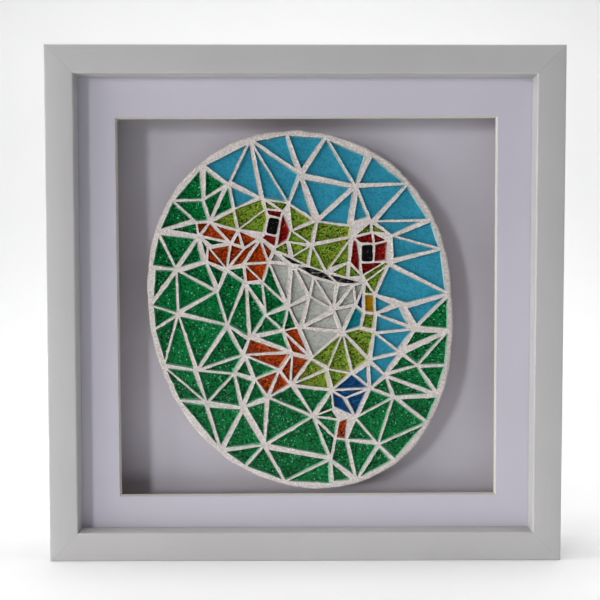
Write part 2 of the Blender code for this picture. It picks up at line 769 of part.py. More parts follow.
def islands(cells):
    """Groups of cells that share edges, each a list of cell numbers."""
    def key(a, b):
        ends = [(round(point[0], 2), round(point[1], 2)) for point in (a, b)]
        return tuple(sorted(ends))

    owners = {}
    for number, cell in enumerate(cells):
        for a, b in zip(cell, cell[1:] + cell[:1]):
            owners.setdefault(key(a, b), []).append(number)
    parent = list(range(len(cells)))

    def root(number):
        while parent[number] != number:
            number = parent[number]
        return number

    for numbers in owners.values():
        for other in numbers[1:]:
            parent[root(other)] = root(numbers[0])
    groups = {}
    for number in range(len(cells)):
        groups.setdefault(root(number), []).append(number)
    return [groups[name] for name in sorted(groups)], owners, key


def bed_loops(cells, owners, key):
    """The outlines of the adhesive under a group of cells, drawn in by a little from its neighbours."""
    following = {}
    for cell in cells:
        for a, b in zip(cell, cell[1:] + cell[:1]):
            if len(owners[key(a, b)]) == 1:
                start = (round(a[0], 2), round(a[1], 2))
                following.setdefault(start, []).append((a, b))
    loops = []
    while following:
        start = min(following)
        loop = []
        spot = start
        heading = None
        while spot in following:
            choices = following[spot]
            if heading is not None and len(choices) > 1:
                choices.sort(key=lambda pair: heading.angle_signed(Vector(pair[1]) - Vector(pair[0])))
            a, b = choices.pop()
            if not choices:
                del following[spot]
            loop.append(a)
            heading = Vector(b) - Vector(a)
            spot = (round(b[0], 2), round(b[1], 2))
            if spot == start:
                break
        loops.append(loop)
    return [drawn_in(loop, BED_INSET) for loop in loops]


def drawn_in(loop, margin):
    """A closed loop moved to its left by a margin, with mitred corners."""
    result = []
    for index, point in enumerate(loop):
        here = Vector(point)
        before = (here - Vector(loop[index - 1])).normalized()
        after = (Vector(loop[(index + 1) % len(loop)]) - here).normalized()
        left = Vector((-before.y, before.x)) + Vector((-after.y, after.x))
        left.normalize()
        spread = max(SHARPEST_MITRE, left.dot(Vector((-after.y, after.x))))
        result.append(tuple(here + left * margin / spread))
    return result


# colour and roughness of each kind of glass
GLASS = {
    "glass_sky_blue": ((0.03, 0.19, 0.30), 0.15),
    "glass_leaf_green": ((0.0, 0.13, 0.03), 0.25),
    "glass_lime": ((0.10, 0.22, 0.02), 0.3),
    "glass_pale_grey": ((0.35, 0.36, 0.33), 0.15),
    "glass_rust": ((0.31, 0.04, 0.005), 0.3),
    "glass_navy": ((0.003, 0.045, 0.17), 0.2),
    "glass_dark_red": ((0.15, 0.003, 0.006), 0.2),
    "glass_black": ((0.004, 0.004, 0.004), 0.1),
    "glass_teal": ((0.01, 0.16, 0.22), 0.2),
    "glass_ochre": ((0.25, 0.13, 0.005), 0.3),
}
ZONE_GLASS = {
    "sky": "glass_sky_blue",
    "leaves": "glass_leaf_green",
    "head": "glass_lime",
    "belly": "glass_lime",
    "chest": "glass_pale_grey",
    "hand": "glass_rust",
    "foot": "glass_rust",
    "thigh": "glass_navy",
    "eye": "glass_dark_red",
    "pupil": "glass_black",
    "mouth": "glass_black",
    "teal": "glass_teal",
    "ochre": "glass_ochre",
}


def make_glass(pieces):
    """The glass, one body for each connected patch of one colour: its adhesive bed and its pieces."""
    front = depth_y(GLASS_FACE)
    bed_front = depth_y(GLASS_FACE + GLASS_THICK)
    bed_back = depth_y(GLASS_FACE + GLASS_THICK + BED_THICK)
    for zone, glass in ZONE_GLASS.items():
        members = [piece for piece in pieces if piece[0] == zone]
        cells = [cell for _, cell, _, _ in members]
        groups, owners, key = islands(cells)
        colour, roughness = GLASS[glass]
        material = plain_material(glass, colour, roughness)
        for count, group in enumerate(groups):
            beds = bed_loops([cells[number] for number in group], owners, key)
            outlines = [members[number][2] for number in group]
            slab = Slab()
            slab.cover(beds, bed_back)
            slab.cover(beds + outlines, bed_front)
            for bed in beds:
                slab.wall(bed, bed_front, bed_back)
            for outline in outlines:
                slab.wall(outline, front, bed_front)
                slab.mesh.faces.new([slab.vert(point, front) for point in outline])
            number = f"_{count + 1}" if len(groups) > 1 else ""
            slab.finish(f"{zone}_glass{number}", material)


def main():
    for old in list(bpy.data.objects):
        bpy.data.objects.remove(old, do_unlink=True)
    white = plain_material("rail_paint", (0.42, 0.41, 0.40), 0.45)
    steel = plain_material("zinc_steel", (0.55, 0.55, 0.57), 0.35, 1.0)
    make_frame(white)
    make_mount_board(plain_material("mount_card", (0.43, 0.41, 0.47), 0.9))
    make_spacers(plain_material("spacer_card", (0.55, 0.53, 0.50), 0.9))
    make_back(plain_material("back_panel", (0.42, 0.40, 0.45), 0.8), steel)
    field = Field()
    pieces = shards(field)
    make_base(plain_material("fibreboard", (0.30, 0.20, 0.12), 0.8))
    make_grout(field, pieces, plain_material("grout", (0.60, 0.53, 0.50), 0.9))
    make_glass(pieces)


main()
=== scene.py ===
"""Mosaic panel: the looks of a box-framed oval glass mosaic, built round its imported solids."""

import math
import random

import bmesh
import bpy
from bpy.props import FloatProperty, FloatVectorProperty, IntProperty, PointerProperty
from mathutils import Matrix, Vector, noise
from mathutils.geometry import delaunay_2d_cdt
from mathutils.kdtree import KDTree


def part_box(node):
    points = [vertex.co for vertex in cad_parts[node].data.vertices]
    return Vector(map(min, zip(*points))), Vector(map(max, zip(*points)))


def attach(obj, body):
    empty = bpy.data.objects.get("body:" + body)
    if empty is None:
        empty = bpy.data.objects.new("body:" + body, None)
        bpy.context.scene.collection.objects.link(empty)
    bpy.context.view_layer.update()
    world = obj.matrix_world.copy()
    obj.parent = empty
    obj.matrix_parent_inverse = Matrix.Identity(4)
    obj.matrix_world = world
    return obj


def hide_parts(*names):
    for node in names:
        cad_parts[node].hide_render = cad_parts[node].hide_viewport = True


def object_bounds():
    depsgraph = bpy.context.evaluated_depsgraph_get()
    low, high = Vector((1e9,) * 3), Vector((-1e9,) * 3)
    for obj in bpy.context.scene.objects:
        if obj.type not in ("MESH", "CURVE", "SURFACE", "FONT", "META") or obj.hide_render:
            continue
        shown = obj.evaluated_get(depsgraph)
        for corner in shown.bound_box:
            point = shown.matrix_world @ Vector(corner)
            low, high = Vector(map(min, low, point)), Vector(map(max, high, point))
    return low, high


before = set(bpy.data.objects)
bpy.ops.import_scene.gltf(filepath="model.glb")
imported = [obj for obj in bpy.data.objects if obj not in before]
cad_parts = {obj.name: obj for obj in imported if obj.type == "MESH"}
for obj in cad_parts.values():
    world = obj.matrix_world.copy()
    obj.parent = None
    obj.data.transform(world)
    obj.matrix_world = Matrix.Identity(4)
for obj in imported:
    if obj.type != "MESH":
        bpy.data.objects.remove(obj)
SOLID_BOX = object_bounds()

bl_info = {
    "name": "Mosaic Panel",
    "version": (1, 0, 0),
    "blender": (4, 5, 0),
    "location": "3D View > Sidebar > Mosaic",
    "description": "Dresses a box-framed glass mosaic with its paint, card, grout and glitter glass",
    "category": "Object",
}

MM = 0.001
BODY = "root"
PANEL_LOW, PANEL_HIGH = SOLID_BOX
MIDDLE_Z = (PANEL_LOW.z + PANEL_HIGH.z) / 2
HALF_SIDE = (PANEL_HIGH.x - PANEL_LOW.x) / 2 / MM
GLASS_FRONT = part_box("sky_glass")[0].y
GLASS_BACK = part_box("sky_glass")[1].y


# ---- sizes and colours that a user would change ----

def length(name, description, millimetres):
    """A size in metres, given in millimetres."""
    return FloatProperty(name=name, description=description, default=millimetres * MM, min=0.0,
                         unit="LENGTH", precision=5)


def colour(name, description, *value):
    """A colour, as linear red, green and blue."""
    return FloatVectorProperty(name=name, description=description, default=value, size=3, min=0.0, max=1.0,
                               subtype="COLOR")


def power(name, description, watts):
    """The power of a lamp."""
    return FloatProperty(name=name, description=description, default=watts, min=0.0, unit="POWER")


class MosaicFrameSizes(bpy.types.PropertyGroup):
    """Sizes of the box frame and of what closes it at the back."""

    rail_face: length("Rail face", "Width of a rail from the front", 15.0)
    rail_wall: length("Rail wall", "Thickness of a rail behind its lip", 9.0)
    lip_depth: length("Lip depth", "Thickness of the lip in front of the mount board", 9.5)
    edge_round: length("Edge round", "Radius of the rails' rounded edges", 0.8)
    mitre_gap: length("Mitre gap", "Width of the painted-over joint at a corner", 0.04)
    mitre_arris: length("Mitre arris", "Width of the small groove along a joint", 0.13)
    tab_lift: length("Tab lift", "How far a fixing tab springs up from the back board", 0.45)
    plate_arris: length("Plate arris", "Bevel round the edges of the hanger", 0.2)


class MosaicGlassSizes(bpy.types.PropertyGroup):
    """Sizes of the hand-cut glass and of the grout between it."""

    clear_depth: length("Clear depth", "Clear glass over the colour", 2.2)
    lean: FloatProperty(name="Lean", description="Slope of the nipped sides", default=0.24, min=0.0)
    waver: length("Waver", "How far a cut edge strays from straight", 0.11)
    chip: length("Chip", "Depth of the deepest chip in an edge", 0.5)
    arris: length("Arris", "Width of the blunted edge of the glass", 0.14)
    proud: length("Proud", "How much the faces of the pieces differ in height", 0.12)
    tilt: FloatProperty(name="Tilt", description="Most that a piece leans out of the plane",
                        default=math.radians(0.45), min=0.0, subtype="ANGLE")
    joint_dip: length("Joint dip", "How far the grout sinks between two pieces", 0.30)
    trowel: length("Trowel", "Height of the grout's slow waves", 0.09)
    rim_waver: length("Rim waver", "How far the grout's outer edge strays", 0.42)
    spacing: length("Spacing", "Distance between points on the grout", 1.0)
    seed: IntProperty(name="Seed", description="Number that every chance follows", default=11, min=0)


class MosaicColours(bpy.types.PropertyGroup):
    """Colours of the finishes."""

    paint: colour("Paint", "Satin white of the rails", 0.482, 0.472, 0.472)
    pine: colour("Pine", "Bare wood at the back of the rails", 0.62, 0.42, 0.22)
    card: colour("Card", "Face of the mount board", 0.55, 0.53, 0.61)
    core: colour("Core", "Cut edge of the mount board", 0.58, 0.558, 0.515)
    lining: colour("Lining", "Face of the back board", 0.62, 0.595, 0.67)
    hardboard: colour("Hardboard", "Back of the back board", 0.23, 0.125, 0.06)
    kraft: colour("Kraft", "Spacer strips", 0.50, 0.38, 0.25)
    fibreboard: colour("Fibreboard", "Board under the mosaic", 0.30, 0.20, 0.12)
    grout: colour("Grout", "Grout between the glass", 0.625, 0.572, 0.545)
    zinc: colour("Zinc", "Plated steel", 0.60, 0.61, 0.63)
    sky: colour("Sky", "Sky glass", 0.030, 0.280, 0.412)
    leaf: colour("Leaf", "Leaf glitter", 0.001, 0.127, 0.030)
    lime: colour("Lime", "Lime glitter", 0.124, 0.234, 0.021)
    pale: colour("Pale", "Chest glass", 0.45, 0.468, 0.433)
    rust: colour("Rust", "Rust glitter", 0.335, 0.036, 0.002)
    navy: colour("Navy", "Thigh glass", 0.0005, 0.037, 0.150)
    ruby: colour("Ruby", "Eye glass", 0.188, 0.007, 0.006)
    jet: colour("Jet", "Pupils and mouth", 0.002, 0.002, 0.002)
    teal: colour("Teal", "Teal glass", 0.006, 0.175, 0.22)
    ochre: colour("Ochre", "Ochre glass", 0.36, 0.19, 0.004)


class MosaicStage(bpy.types.PropertyGroup):
    """The studio round the panel."""

    lens: FloatProperty(name="Lens", description="Focal length", default=48.0, min=10.0, unit="CAMERA")
    key_power: power("Key", "Power of the narrow lamp at the left", 1.0)
    window_power: power("Window", "Power of the wide lamp at the left", 23.0)
    side_power: power("Side light", "Power of the lamp beside the panel", 9.0)
    floor_power: power("Floor light", "Power of the lamp over the floor", 8.0)
    back_power: power("Back light", "Power of the lamp over the floor behind", 6.5)
    wall_power: power("Wall light", "Power of the lamp on the backdrop", 7.9)
    room_strength: FloatProperty(name="Room", description="Strength of the light of the room", default=0.225,
                                 min=0.0)
    floor: colour("Floor", "Floor and backdrop", 0.93, 0.93, 0.93)


# ---- shader maths ----

class Value:
    """A number or colour that varies over a surface. Arithmetic on it adds Math nodes."""

    def __init__(self, finish, socket):
        self.finish = finish
        self.socket = socket

    def other(self, name):
        """Another output of the same node."""
        return Value(self.finish, self.socket.node.outputs[name])

    def parts(self):
        """A colour's red part, whose other outputs are the Green and the Blue."""
        return self.finish.node("ShaderNodeSeparateColor", None, {0: self}, "Red")

    def math(self, operation, *values):
        return self.finish.node("ShaderNodeMath", {"operation": operation}, dict(enumerate(values)))

    def __add__(self, number):
        return self.math("ADD", self, number)

    def __mul__(self, number):
        return self.math("MULTIPLY", self, number)

    def __sub__(self, number):
        return self.math("SUBTRACT", self, number)

    def __rsub__(self, number):
        return self.math("SUBTRACT", number, self)

    __radd__, __rmul__ = __add__, __mul__

    def __abs__(self):
        return self.math("ABSOLUTE", self)

    def most(self, number):
        """The larger of the two."""
        return self.math("MAXIMUM", self, number)

    def ramp(self, low, high):
        """0 at low and 1 at high, eased between them."""
        return self.finish.node("ShaderNodeMapRange", {"interpolation_type": "SMOOTHSTEP"},
                                {"Value": self, "From Min": low, "From Max": high})


def tone(base, factor):
    """A plain colour made lighter or darker."""
    return tuple(min(part * factor, 1.0) for part in base)


class Finish:
    """A node tree, the ways that the finishes here build it, and the colour that they lay in it."""

    def __init__(self, name=None, world=None):
        self.owner = world or bpy.data.materials.new(name)
        self.owner.use_nodes = True
        self.tree = self.owner.node_tree
        self.tree.nodes.clear()
        self.colour = None

    def node(self, kind, settings=None, values=None, output=0):
        """A node: its settings first, then the value or the link of each socket."""
        made = self.tree.nodes.new(kind)
        for name, setting in (settings or {}).items():
            setattr(made, name, setting)
        for name, value in (values or {}).items():
            if isinstance(value, Value):
                self.tree.links.new(value.socket, made.inputs[name])
            else:
                made.inputs[name].default_value = value
        return Value(self, made.outputs[output])

    def vector(self, operation, values):
        return self.node("ShaderNodeVectorMath", {"operation": operation}, values)

    def place(self, stretch=(1, 1, 1)):
        """Where a point of the panel is, in millimetres, each way times a number."""
        spot = self.node("ShaderNodeTexCoord", output="Object")
        return self.vector("MULTIPLY", {0: spot, 1: tuple(share / MM for share in stretch)})

    def axis(self, vector, name):
        return self.node("ShaderNodeSeparateXYZ", None, {0: vector}, output=name)

    def facing(self, name):
        """One part of the surface's own direction."""
        return self.axis(self.node("ShaderNodeNewGeometry", output="Normal"), name)

    def piece_chance(self):
        """A random number from 0 to 1 for each separate piece."""
        return self.node("ShaderNodeNewGeometry", output="Random Per Island")

    def noise(self, size, detail=2.0, rough=0.5, stretch=(1, 1, 1)):
        """Soft noise whose waves are about size millimetres long."""
        return self.node("ShaderNodeTexNoise", None, {
            "Vector": self.place(stretch), "Scale": 1 / size, "Detail": detail, "Roughness": rough})

    def cells(self, size, output="Color", stretch=(1, 1, 1)):
        """Voronoi cells of about size millimetres."""
        return self.node("ShaderNodeTexVoronoi", None, {
            "Vector": self.place(stretch), "Scale": 1 / size}, output)

    def mix(self, share, first, second):
        """A colour between two others."""
        values = {0: share}
        for socket, tint in ((6, first), (7, second)):
            values[socket] = tint if isinstance(tint, Value) else (*tint, 1.0)
        return self.node("ShaderNodeMix", {"data_type": "RGBA"}, values, 2)

    def ground(self, share, base, low, high=1.0):
        """The first colour laid: from one tone of a colour to another."""
        self.colour = self.mix(share, tone(base, low), tone(base, high))

    def lay(self, share, base, factor=1.0):
        """Lays a tone of another colour over what is there."""
        self.colour = self.mix(share, self.colour, tone(base, factor))

    def bump(self, height, distance):
        """A bump whose full height is distance, in millimetres."""
        return self.node("ShaderNodeBump", None, {"Height": height, "Distance": distance * MM,
                                                  "Strength": 1.0})

    def done(self, rough, normal, others=None):
        """The finished material: the colour laid, its roughness and relief, and other values."""
        values = {"Base Color": self.colour, "Roughness": rough, **(others or {})}
        if normal:
            values["Normal"] = normal
        return self.close(self.node("ShaderNodeBsdfPrincipled", None, values))

    def close(self, shader, kind="Material"):
        output = self.tree.nodes.new(f"ShaderNodeOutput{kind}")
        self.tree.links.new(shader.socket, output.inputs["Surface"])
        return self.owner


# ---- finishes ----

# a surface's direction from front to back, as a ramp that is 0 on a front face and 1 on any other, and
# as one that is 1 on a back face and 0 on any other
OFF_FRONT = (-0.95, -0.80)
ON_BACK = (0.80, 0.95)


def rail_paint(colours, along):
    """Satin paint over pine, with the wood's grain along x or z, and bare wood at the back."""
    finish = Finish(f"rail_paint_{along}")
    stretch = (0.05, 1, 1) if along == "x" else (1, 1, 0.05)
    finish.ground(finish.noise(2.6, 3.0, 0.6, stretch).ramp(0.38, 0.60), colours.pine, 0.74)
    finish.lay(finish.noise(0.35, 2.0, 0.6, stretch).ramp(0.45, 0.75) * 0.3, colours.pine, 0.5)
    pine = finish.colour
    grain = finish.noise(1.3, 4.0, 0.55, stretch)
    cloud = finish.noise(38.0)
    finish.ground(cloud.ramp(0.35, 0.68), colours.paint, 0.965)
    finish.lay(grain.ramp(0.52, 0.78) * 0.35, colours.paint, 0.90)
    spot = finish.place()
    square = abs(finish.axis(spot, "X")).most(abs(finish.axis(spot, "Z") - MIDDLE_Z / MM))
    arris = square.ramp(HALF_SIDE - 0.9, HALF_SIDE) * finish.noise(2.2, 4.0, 0.7).ramp(0.55, 0.72)
    finish.lay(arris * 0.55, (0.40, 0.37, 0.33))
    finish.lay(finish.noise(6.0, 6.0, 0.75).ramp(0.69, 0.76) * 0.30, (0.42, 0.40, 0.37))
    bare = finish.facing("Y").ramp(*ON_BACK)
    finish.colour = finish.mix(bare, finish.colour, pine)
    relief = finish.bump(grain * 0.7 + finish.noise(0.7, 3.0, 0.7) * 0.4, 0.035)
    return finish.done(0.44 + cloud * 0.10 + bare * 0.3, relief)


def mount_card(colours):
    """Smooth tinted card whose cut edges show its cream core."""
    finish = Finish("mount_card")
    layers = finish.noise(0.25, 2.0, 0.6, (0.05, 1, 0.05))
    core = finish.mix(layers.ramp(0.40, 0.70) * 0.5, colours.core, tone(colours.core, 0.86))
    tooth = finish.noise(0.45, 4.0, 0.7)
    finish.ground(finish.noise(60.0).ramp(0.35, 0.65), colours.card, 0.97)
    finish.lay(tooth.ramp(0.50, 0.80) * 0.25, colours.card, 0.90)
    finish.colour = finish.mix(finish.facing("Y").ramp(*OFF_FRONT), finish.colour, core)
    return finish.done(0.86, finish.bump(tooth, 0.02))


def lining_board(colours):
    """A back board lined with tinted paper, with bare hardboard behind."""
    finish = Finish("lining_board")
    inner = 1 - finish.facing("Y").ramp(*OFF_FRONT)
    tooth = finish.noise(0.5, 4.0, 0.7)
    finish.ground(finish.noise(48.0, 3.0).ramp(0.35, 0.65), colours.lining, 0.95)
    paper = finish.colour
    fibre = finish.noise(0.8, 5.0, 0.75, (1, 1, 0.35))
    flecks = finish.cells(0.9, "Distance", (1, 1, 0.3))
    finish.ground(fibre.ramp(0.35, 0.68), colours.hardboard, 0.70, 1.15)
    finish.lay(flecks.ramp(0.30, 0.06) * 0.4, colours.hardboard, 1.7)
    finish.lay(finish.noise(30.0, 3.0).ramp(0.45, 0.75) * 0.35, colours.hardboard, 0.6)
    finish.colour = finish.mix(inner, finish.colour, paper)
    relief = finish.bump(tooth * inner * 0.4 + fibre * (1 - inner), 0.05)
    return finish.done(0.88 - fibre * 0.1 * (1 - inner), relief)


def spacer_card(colours):
    """Fluted kraft board: liners on its faces, waves along its cut edges."""
    finish = Finish("spacer_card")
    spot = finish.place()
    slant = (finish.axis(spot, "X") + finish.axis(spot, "Z")) * 1.35
    wave = slant.math("SINE", slant)
    edge = 1 - abs(finish.facing("Y")).ramp(0.3, 0.7)
    liner = finish.noise(1.2, 4.0, 0.65, (1, 0.4, 1))
    finish.ground(liner.ramp(0.35, 0.70), colours.kraft, 0.82)
    finish.lay(wave.ramp(0.1, 0.7) * (1 - edge) * 0.8, colours.kraft, 0.45)
    return finish.done(0.9, finish.bump(wave * (1 - edge * 0.8) + liner * 0.3, 0.12))


def fibre_board(colours):
    """Sawn fibreboard, with grout smeared over the edge nearest the glass."""
    finish = Finish("fibreboard")
    fibre = finish.noise(0.55, 5.0, 0.75)
    saw = finish.noise(0.9, 3.0, 0.6, (1, 0.06, 1))
    finish.ground(fibre.ramp(0.35, 0.68), colours.fibreboard, 0.72, 1.2)
    finish.lay(saw.ramp(0.55, 0.75) * 0.35, colours.fibreboard, 0.5)
    height = finish.axis(finish.place(), "Y") + finish.noise(5.0, 4.0, 0.65) * 7.0
    smear = height.ramp(1.6, -0.4) * finish.noise(1.6, 3.0, 0.6).ramp(0.34, 0.46)
    smear = smear.most(finish.noise(3.4, 3.0, 0.6, (1, 0.3, 1)).ramp(0.64, 0.68))
    finish.lay(smear, colours.grout, 0.9)
    return finish.done(0.92, finish.bump(fibre * 0.5 + saw * 0.6 + smear * 1.2, 0.10))


def sanded_grout(colours):
    """Fine sanded grout: grains, pinholes and slow stains."""
    finish = Finish("sanded_grout")
    sand = finish.cells(0.62).parts()
    pale = sand.other("Green")
    powder = finish.noise(0.9, 5.0, 0.8)
    pits = finish.cells(2.3, "Distance").ramp(0.16, 0.07) * finish.noise(5.0).ramp(0.50, 0.58)
    finish.ground(finish.noise(16.0, 4.0, 0.6).ramp(0.36, 0.68), colours.grout, 0.93, 1.03)
    finish.lay(sand.ramp(0.45, 1.0) * 0.75, colours.grout, 0.64)
    finish.lay(pale.ramp(0.62, 1.0) * 0.80, colours.grout, 1.36)
    finish.lay(powder.ramp(0.56, 0.80) * 0.35, colours.grout, 0.80)
    finish.lay(pits * 0.55, (0.30, 0.24, 0.21))
    relief = finish.bump(powder * 0.8 + sand * 0.35 - pits * 1.2, 0.09)
    return finish.done(0.93 - pale * 0.08, relief)


def pocket_side_painted_shading(colours):
    """The grout against the sides of the glass, with painted shade on the sides that face away from the
    lamps at the left and above, and painted light on the sides that face them.
    """
    finish = Finish("pocket_side_painted_shading")
    powder = finish.noise(0.9, 4.0, 0.7)
    # how far a side faces away from the lamps at the left and above
    away_from_lamps = finish.facing("X") * 0.88 - finish.facing("Z") * 0.48
    painted_shade = (away_from_lamps + (powder - 0.5) * 0.3).ramp(0.15, 0.60)
    finish.ground(powder.ramp(0.40, 0.70), colours.grout, 0.80, 0.95)
    # painted light: the sides that face the lamps are laid lighter
    finish.lay(away_from_lamps.ramp(-0.20, -0.70), colours.grout, 1.15)
    # painted shade: the sides that face away from the lamps are laid darker
    finish.lay(painted_shade * 0.90, (0.24, 0.225, 0.21))
    return finish.done(0.85, finish.bump(powder, 0.05))


def zinc_plate(colours):
    """Bright zinc on steel, with rolling lines, a faint spangle and dull spots."""
    finish = Finish("zinc_plate")
    lines = finish.noise(0.35, 3.0, 0.7, (0.04, 1, 1))
    dull = finish.noise(3.0, 5.0, 0.7).ramp(0.56, 0.74)
    finish.colour = finish.mix(finish.cells(2.6).parts() * 0.5, colours.zinc, tone(colours.zinc, 0.80))
    finish.lay(dull * 0.6, (0.34, 0.34, 0.33))
    return finish.done(0.26 + dull * 0.35 + lines * 0.12, finish.bump(lines, 0.012),
                       {"Metallic": 1 - dull * 0.5})


def clear_glass(name, through):
    """Tinted glass over the colour: through is the share of each colour that a view through it keeps.
    Rays from the lamps pass it, so that they reach the colour."""
    finish = Finish(name)
    wave = finish.bump(finish.noise(7.0) + finish.noise(1.6) * 0.12, 0.03)
    glass = finish.node("ShaderNodeBsdfPrincipled", None, {
        "Base Color": (*(part ** 2 for part in through), 1.0), "Roughness": 0.03, "IOR": 1.5,
        "Transmission Weight": 1.0, "Specular Tint": (0.15, 0.15, 0.15, 1.0), "Normal": wave})
    clear = finish.node("ShaderNodeBsdfTransparent")
    path = finish.node("ShaderNodeLightPath", output="Is Shadow Ray")
    passing = path.most(path.other("Is Diffuse Ray"))
    return finish.close(finish.node("ShaderNodeMixShader", None, {0: passing, 1: glass, 2: clear}))


FLAKE = 0.60  # mm, size of a flake of glitter
CLUMP = 0.90  # mm, size of the clumps that flakes lie in
UNDER_GLASS = {"Specular IOR Level": 0.12}


def glitter(name, base, spark, warm=None, sparks=0.955):
    """A bed of glitter flakes under the glass, each with its own lean and gloss. The spread of their tones
    is partly random tone and partly painted glints, and the lit specks and the pale sparks are painted
    glints.
    """
    finish = Finish(name)
    flakes = finish.cells(FLAKE)
    first = flakes.parts()
    second, third = first.other("Green"), first.other("Blue")
    clumps = finish.cells(CLUMP).parts()
    slow = finish.noise(6.0, 3.0, 0.6).ramp(0.36, 0.66)
    shade = first * 0.74 + clumps * 0.18 + slow * 0.08 + (finish.piece_chance() - 0.5) * 0.18
    # partly painted glints: the spread from dark to bright flakes stands in for flakes catching the light
    finish.ground(shade.ramp(0.20, 0.84), base, 0.08, 1.80)
    if warm:
        finish.lay(third.ramp(0.88, 0.94) * 0.70, warm)
    # painted glints: lit specks laid lighter in the colour
    lit = (second * 0.8 + clumps.other("Green") * 0.2).ramp(0.68, 0.82)
    finish.lay(lit * 0.72, [1.9 * part + 0.02 for part in base])
    # painted glints: pale sparks laid in the colour
    star = second.ramp(sparks, sparks + 0.01)
    finish.lay(star * 0.62, spark)
    lean = finish.vector("SUBTRACT", {0: flakes, 1: (0.5, 0.5, 0.5)})
    lean = finish.vector("SCALE", {0: lean, "Scale": 0.90})
    upright = finish.node("ShaderNodeNewGeometry", output="Normal")
    lean = finish.vector("NORMALIZE", {0: finish.vector("ADD", {0: upright, 1: lean})})
    return finish.done(0.62 - third * 0.22, lean, {"Metallic": star * 0.4, **UNDER_GLASS})


def paint_under_glass(name, base, ripple=0.10, streak=0.0, light=None):
    """Smooth colour under the glass, with a slight cloudiness and brush marks."""
    finish = Finish(name)
    fine = finish.noise(0.55, 3.0, 0.7)
    mood = finish.noise(4.2, 4.0, 0.6).ramp(0.34, 0.68) * 0.6 + finish.piece_chance() * 0.4
    finish.ground(mood, base, 1 - ripple, 1 + ripple)
    finish.lay(fine.ramp(0.45, 0.75) * ripple * 2.0, base, 1 - 1.6 * ripple)
    finish.lay(finish.cells(0.80).parts().ramp(0.25, 0.95) * 0.75, base, 0.66)
    if streak:
        marks = finish.noise(0.8, 3.0, 0.6, (0.40, 1, 1.2)).ramp(0.52, 0.64)
        finish.lay(marks * streak, light or tone(base, 1.8))
    return finish.done(0.55 + fine * 0.15, finish.bump(fine, 0.03), UNDER_GLASS)


def jet_glass(colours, scratched):
    """Opaque black glass, nibbled to shape: pale bruises and scratches along it."""
    finish = Finish("jet_glass_scratched" if scratched else "jet_glass")
    stretch, high = ((0.22, 1, 0.9), 0.545) if scratched else ((1, 1, 0.30), 0.65)
    marks = finish.noise(0.75, 4.0, 0.75, stretch)
    bruise = marks.ramp(high, high + 0.05).most(finish.cells(0.8, "Distance").ramp(0.14, 0.06))
    finish.colour = finish.mix(bruise * 0.75, colours.jet, (0.42, 0.41, 0.39))
    return finish.done(0.14 + bruise * 0.5, finish.bump(marks, 0.06), {"Specular IOR Level": 0.30})


def studio_floor(stage):
    """A pale seamless floor."""
    finish = Finish("studio_floor")
    finish.ground(finish.noise(400.0).ramp(0.3, 0.7), stage.floor, 0.985)
    return finish.done(0.9, None)


# ---- outlines and meshes ----

SAME_PLACE = 1e-6  # m between two corners that are one
IN_PLANE = 2e-5  # m, furthest that a corner on a plane is from it
STRAIGHT = 1e-3  # sine of the least turn that makes a corner
MOST_LEANED = 0.4  # share of its size that a piece of glass loses at most behind its face
# degrees: a sharper edge of a smooth piece shows as an edge
RAIL_EDGE, STEEL_EDGE, BOARD_EDGE, GROUT_EDGE = 32, 35, 40, 48


def behind_glass(y):
    """How far a place is behind the face of the glass, in millimetres."""
    return (y - GLASS_FRONT) / MM


def sides(loop):
    """Each point of a closed loop with the one after it."""
    return zip(loop, loop[1:] + loop[:1])


def neighbours(loop):
    """Each point of a closed loop, between the one before it and the one after it."""
    return zip(loop[-1:] + loop[:-1], loop, loop[1:] + loop[:1])


def drift(spot, per_mm, layer):
    """Soft noise from -1 to 1 at a place: per_mm is how quickly it changes, and each layer differs."""
    return noise.noise(Vector((spot[0] * per_mm, spot[1] * per_mm, layer)))


def middle(outline):
    return sum(outline, Vector((0, 0))) / len(outline)


def turning(outline):
    """Twice the area inside an outline, positive if it runs anticlockwise."""
    return sum(here.cross(after) for here, after in sides(outline))


def ways_in(outline):
    """The direction into an anticlockwise outline at each of its points."""
    along = [(after - before).normalized() for before, _, after in neighbours(outline)]
    return [Vector((-way.y, way.x)) for way in along]


def moved_in(outline, distance):
    """An anticlockwise outline with each point moved inwards."""
    return [here + way * distance for here, way in zip(outline, ways_in(outline))]


def leaned(outline, lean, deep):
    """A piece's outline at a depth in millimetres: its nipped sides lean inwards behind its face."""
    centre = middle(outline)
    reach = abs(turning(outline)) / sum((after - here).length for here, after in sides(outline))
    share = 1 - min(lean * deep / reach, MOST_LEANED)
    return [centre + (spot - centre) * share for spot in outline]


def inside(spot, outline):
    """True if a point lies in an outline."""
    odd = False
    for before, here in sides(outline):
        if (here.y > spot.y) != (before.y > spot.y):
            if spot.x < (before.x - here.x) * (spot.y - here.y) / (before.y - here.y) + here.x:
                odd = not odd
    return odd


def arc(centre, radius, first, last, steps):
    """Points round part of a circle, its angles in degrees."""
    return [Vector(centre) + radius * Vector((math.cos(math.radians(angle)), math.sin(math.radians(angle))))
            for angle in (first + (last - first) * step / steps for step in range(steps + 1))]


def finder(spots):
    """A tree that finds the nearest of some points in the plane."""
    tree = KDTree(len(spots))
    for number, spot in enumerate(spots):
        tree.insert((*spot, 0), number)
    tree.balance()
    return tree


def put(name, data):
    """A new object in the scene."""
    made = bpy.data.objects.new(name, data)
    bpy.context.scene.collection.objects.link(made)
    return made


